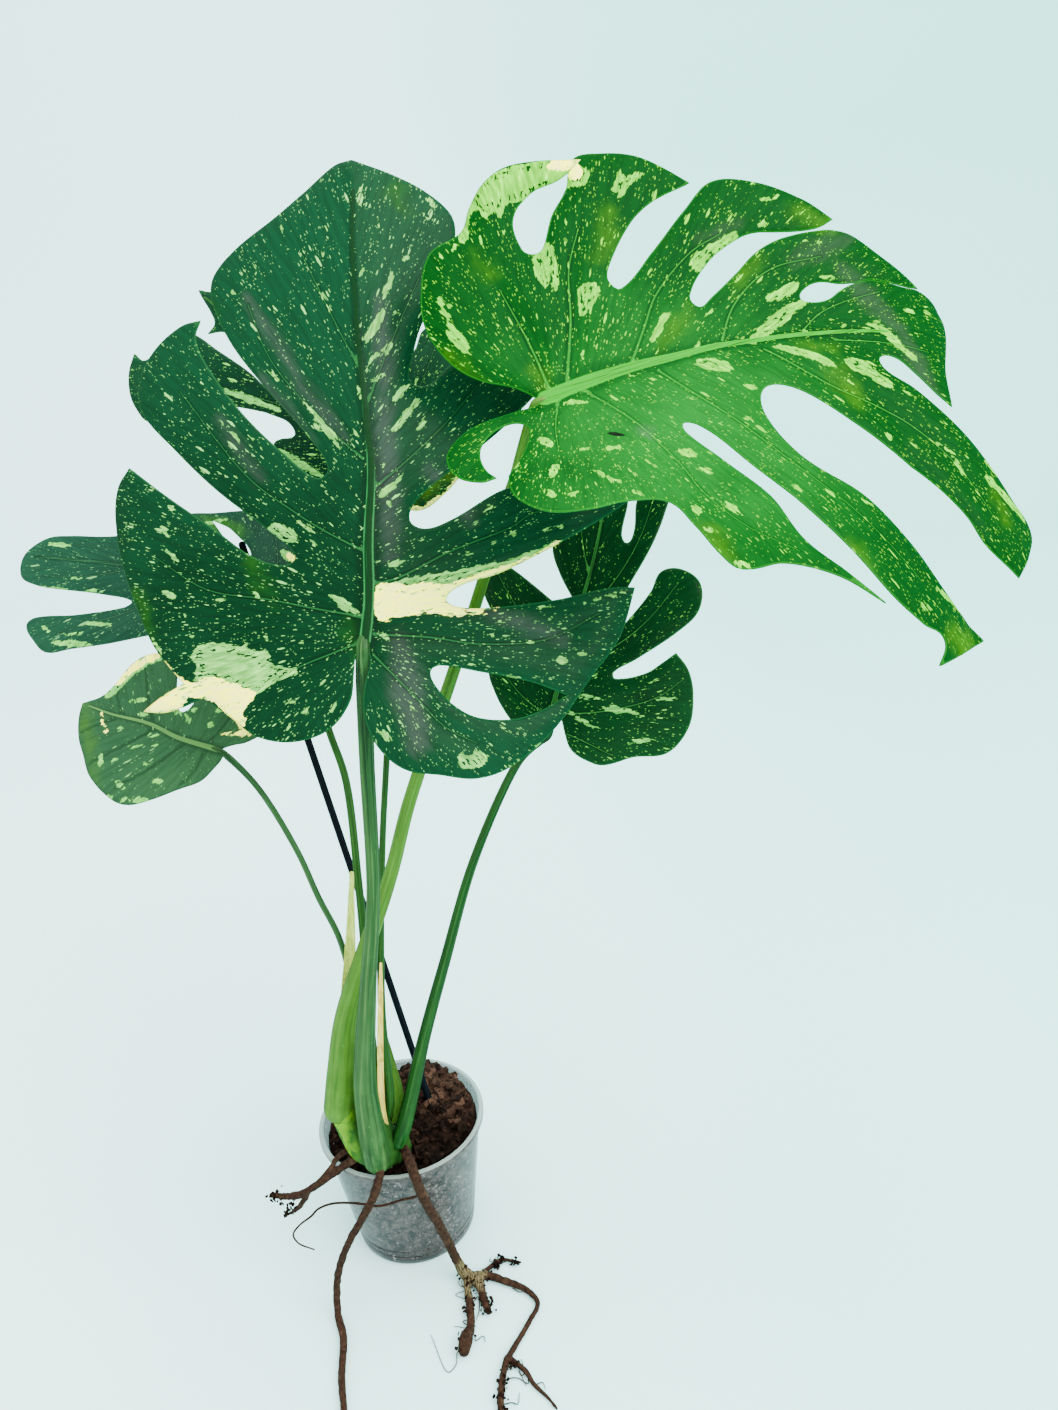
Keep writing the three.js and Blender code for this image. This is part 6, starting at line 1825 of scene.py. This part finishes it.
ROOTLET = (
    [(18, -69.5, 97), (14, -67.5, 90), (4, -64.6, 85), (-12, -63.4, 80), (-30, -60, 81), (-46, -55, 77),
     (-58, -51, 69), (-64, -50, 62), (-74, -50, 54), (-79, -51, 47), (-76, -53, 41), (-65, -56, 37)],
    [1.2, 1, 0.9, 0.8, 0.8, 0.8, 0.8, 0.8, 0.7, 0.7, 0.6, 0.5],
)
ROOT_GRAIN = 0.75
ROOT_SMOOTHING = 3
ROOT_SIDES = 18
ROOTLET_SIDES = 10
ROOT_STEP = 2
ROOT_LOWEST = 0.1
ON_TABLE = 4
HAIR_RADII = [0.45, 0.4, 0.35, 0.3, 0.22]
HAIR_SIDES = 8
HAIR_STEP = 1.5
CRUMB_SIZE = (0.5, 1.5)
CRUMB_FLATNESS = 0.7
CRUMB_TINT = (0.1, 0.7)
SLEEVE_MIDDLE = (40, -64, 8)

root_bark = Finish("root_bark_skin", 0.7, 0.02)
spot = root_bark.place()
rough_bark = root_bark.cloud(spot, 2.2, 4)
bark = root_bark.blend(root_bark.ease(rough_bark, 0.3, 0.7), paint(28, 18, 14), paint(46, 31, 22))
# The lighter patches on the bark are painted highlight.
bark_highlight = root_bark.ease(root_bark.cloud(spot, 7, 4), 0.56, 0.74)
bark = root_bark.blend(root_bark.times(bark_highlight, 0.6), bark, paint(66, 50, 36))
away = root_bark.add("VectorMath", {0: spot, 1: SLEEVE_MIDDLE}, operation="DISTANCE").outputs[1]
sleeve = root_bark.scale_add(root_bark.cloud(spot, 4, 3), 10, away)
sleeve = root_bark.inverse(root_bark.ease(sleeve, 16, 22))
fibres = root_bark.cloud(root_bark.scaled(spot, (1.2, 0.25, 0.25)), 0.8, 3)
tan = root_bark.blend(root_bark.ease(fibres, 0.35, 0.62), paint(40, 30, 20), paint(92, 84, 58))
root_bark.color(root_bark.blend(sleeve, bark, tan))
root_bark.bump(rough_bark, 0.5)


def root_lift(p):
    """Rough bark, and less of it where a root lies on the table."""
    ridge = noise.fractal(Vector((p.x, p.y, p.z * 0.6)) / 3, 1.0, 2.0, 3)
    if p.z > ON_TABLE:
        return max(-0.4, min(0.5, 0.5 * ridge))
    return 0.25 * max(-1, min(1, ridge))


def make_root(name, node, rods):
    """One rough root, fused from rods and kept above the table."""
    points, faces = joined([rod(route, radii, ROOT_SIDES, ROOT_STEP) for route, radii in rods])
    root = make_piece(name, points, faces, root_bark, "root_bark", node)
    fused(root, ROOT_GRAIN, ROOT_SMOOTHING)
    roughened(root, root_lift)
    for v in root.data.vertices:
        v.co.z = max(v.co.z, ROOT_LOWEST * MM)


def put_crumbs(name, node, spots, count, seed):
    """Crumbs of soil that cling round (x, y, z, reach) spots, none of them below the floor."""
    rng = random.Random(seed)
    points, faces, tints = [], [], []
    for _ in range(count):
        x, y, z, reach = rng.choice(spots)
        size = rng.uniform(*CRUMB_SIZE)
        away = [rng.gauss(0, 0.5) * reach for _ in range(3)]
        middle = (x + away[0], y + away[1], max(z + 0.6 * away[2], size * 1.5))
        corners, sides = bit_of(rng, middle, size, CRUMB_FLATNESS)
        start = len(points)
        points += corners
        faces += [tuple(start + i for i in side) for side in sides]
        tints += [rng.uniform(*CRUMB_TINT)] * len(corners)
    crumbs = make_piece(name, points, faces, bark_soil, "bark_soil", node)
    crumbs.data.attributes.new("tint", "FLOAT", "POINT").data.foreach_set("value", tints)
    crumbs.data.polygons.foreach_set("use_smooth", [False] * len(crumbs.data.polygons))


def put_hairs(name, node, starts, seed):
    """Fine rootlets that grow from (x, y, z, length) starts and droop to the surface."""
    rng = random.Random(seed)
    parts = []
    for x, y, z, length in starts:
        heading = rng.uniform(0, math.tau)
        route = []
        for k in range(len(HAIR_RADII)):
            share = k / (len(HAIR_RADII) - 1)
            turned_by = heading + 1.2 * share * rng.uniform(-1, 1)
            reach = length * share
            low = max(z * (1 - share) ** 1.5, 0.5)
            route.append((x + reach * math.cos(turned_by), y + reach * math.sin(turned_by), low))
        parts.append(rod(route, HAIR_RADII, HAIR_SIDES, HAIR_STEP))
    points, faces = joined(parts)
    make_piece(name, points, faces, root_bark, "root_bark", node)


make_root("front_root", "root_front", FRONT_ROOT)
make_root("right_root", "root_right", RIGHT_ROOT)
make_root("left_root", "root_left", LEFT_ROOT)
points, faces = rod(*ROOTLET, ROOTLET_SIDES, ROOT_STEP)
make_piece("rootlet", points, faces, root_bark, "root_bark", "root_right")

RIGHT_SPOTS = [
    (38, -62, 8, 5), (43, -66, 6, 6), (48, -68, 5, 6), (41, -76, 3.5, 4), (42, -85, 3.5, 4),
    (43, -95, 3.5, 4), (40, -108, 5, 5), (39, -114, 5, 5), (40, -111, 7, 4), (50, -61, 4, 5),
    (56, -61, 3.5, 4), (53, -80, 3.5, 4), (55, -88, 3, 4), (66, -130, 3, 4), (64, -140, 3.2, 4),
    (63, -150, 3.2, 4), (64, -160, 3, 4), (72, -128, 2.5, 3), (64, -48, 2.5, 3), (74, -51, 2.2, 3),
    (60, -52, 2.6, 3),
]
put_crumbs("right_root_crumbs", "root_right", RIGHT_SPOTS, count=420, seed=21)
RIGHT_HAIRS = [
    (40, -78, 3, 16), (42, -90, 3, 12), (39, -112, 3, 26), (44, -104, 3, 10), (52, -62, 3, 12),
    (56, -86, 2, 10), (64, -142, 2, 22), (63, -154, 2, 14), (66, -166, 2, 10), (80, -134, 2, 8),
    (70, -50, 2, 7), (60, -50, 2, 7), (48, -70, 4, 9), (38, -60, 8, 8), (72, -72, 2, 7),
    (84, -142, 1.6, 8), (36, -66, 6, 10), (46, -60, 5, 8),
]
put_hairs("right_root_hairs", "root_right", RIGHT_HAIRS, seed=22)
LEFT_SPOTS = [
    (-84, -52, 85, 4), (-78, -54, 84, 4), (-72, -53, 83, 4), (-76, -52, 74, 3.5),
    (-79, -51, 68, 3), (-88, -51, 86, 2.5),
]
put_crumbs("left_root_crumbs", "root_left", LEFT_SPOTS, count=90, seed=23)
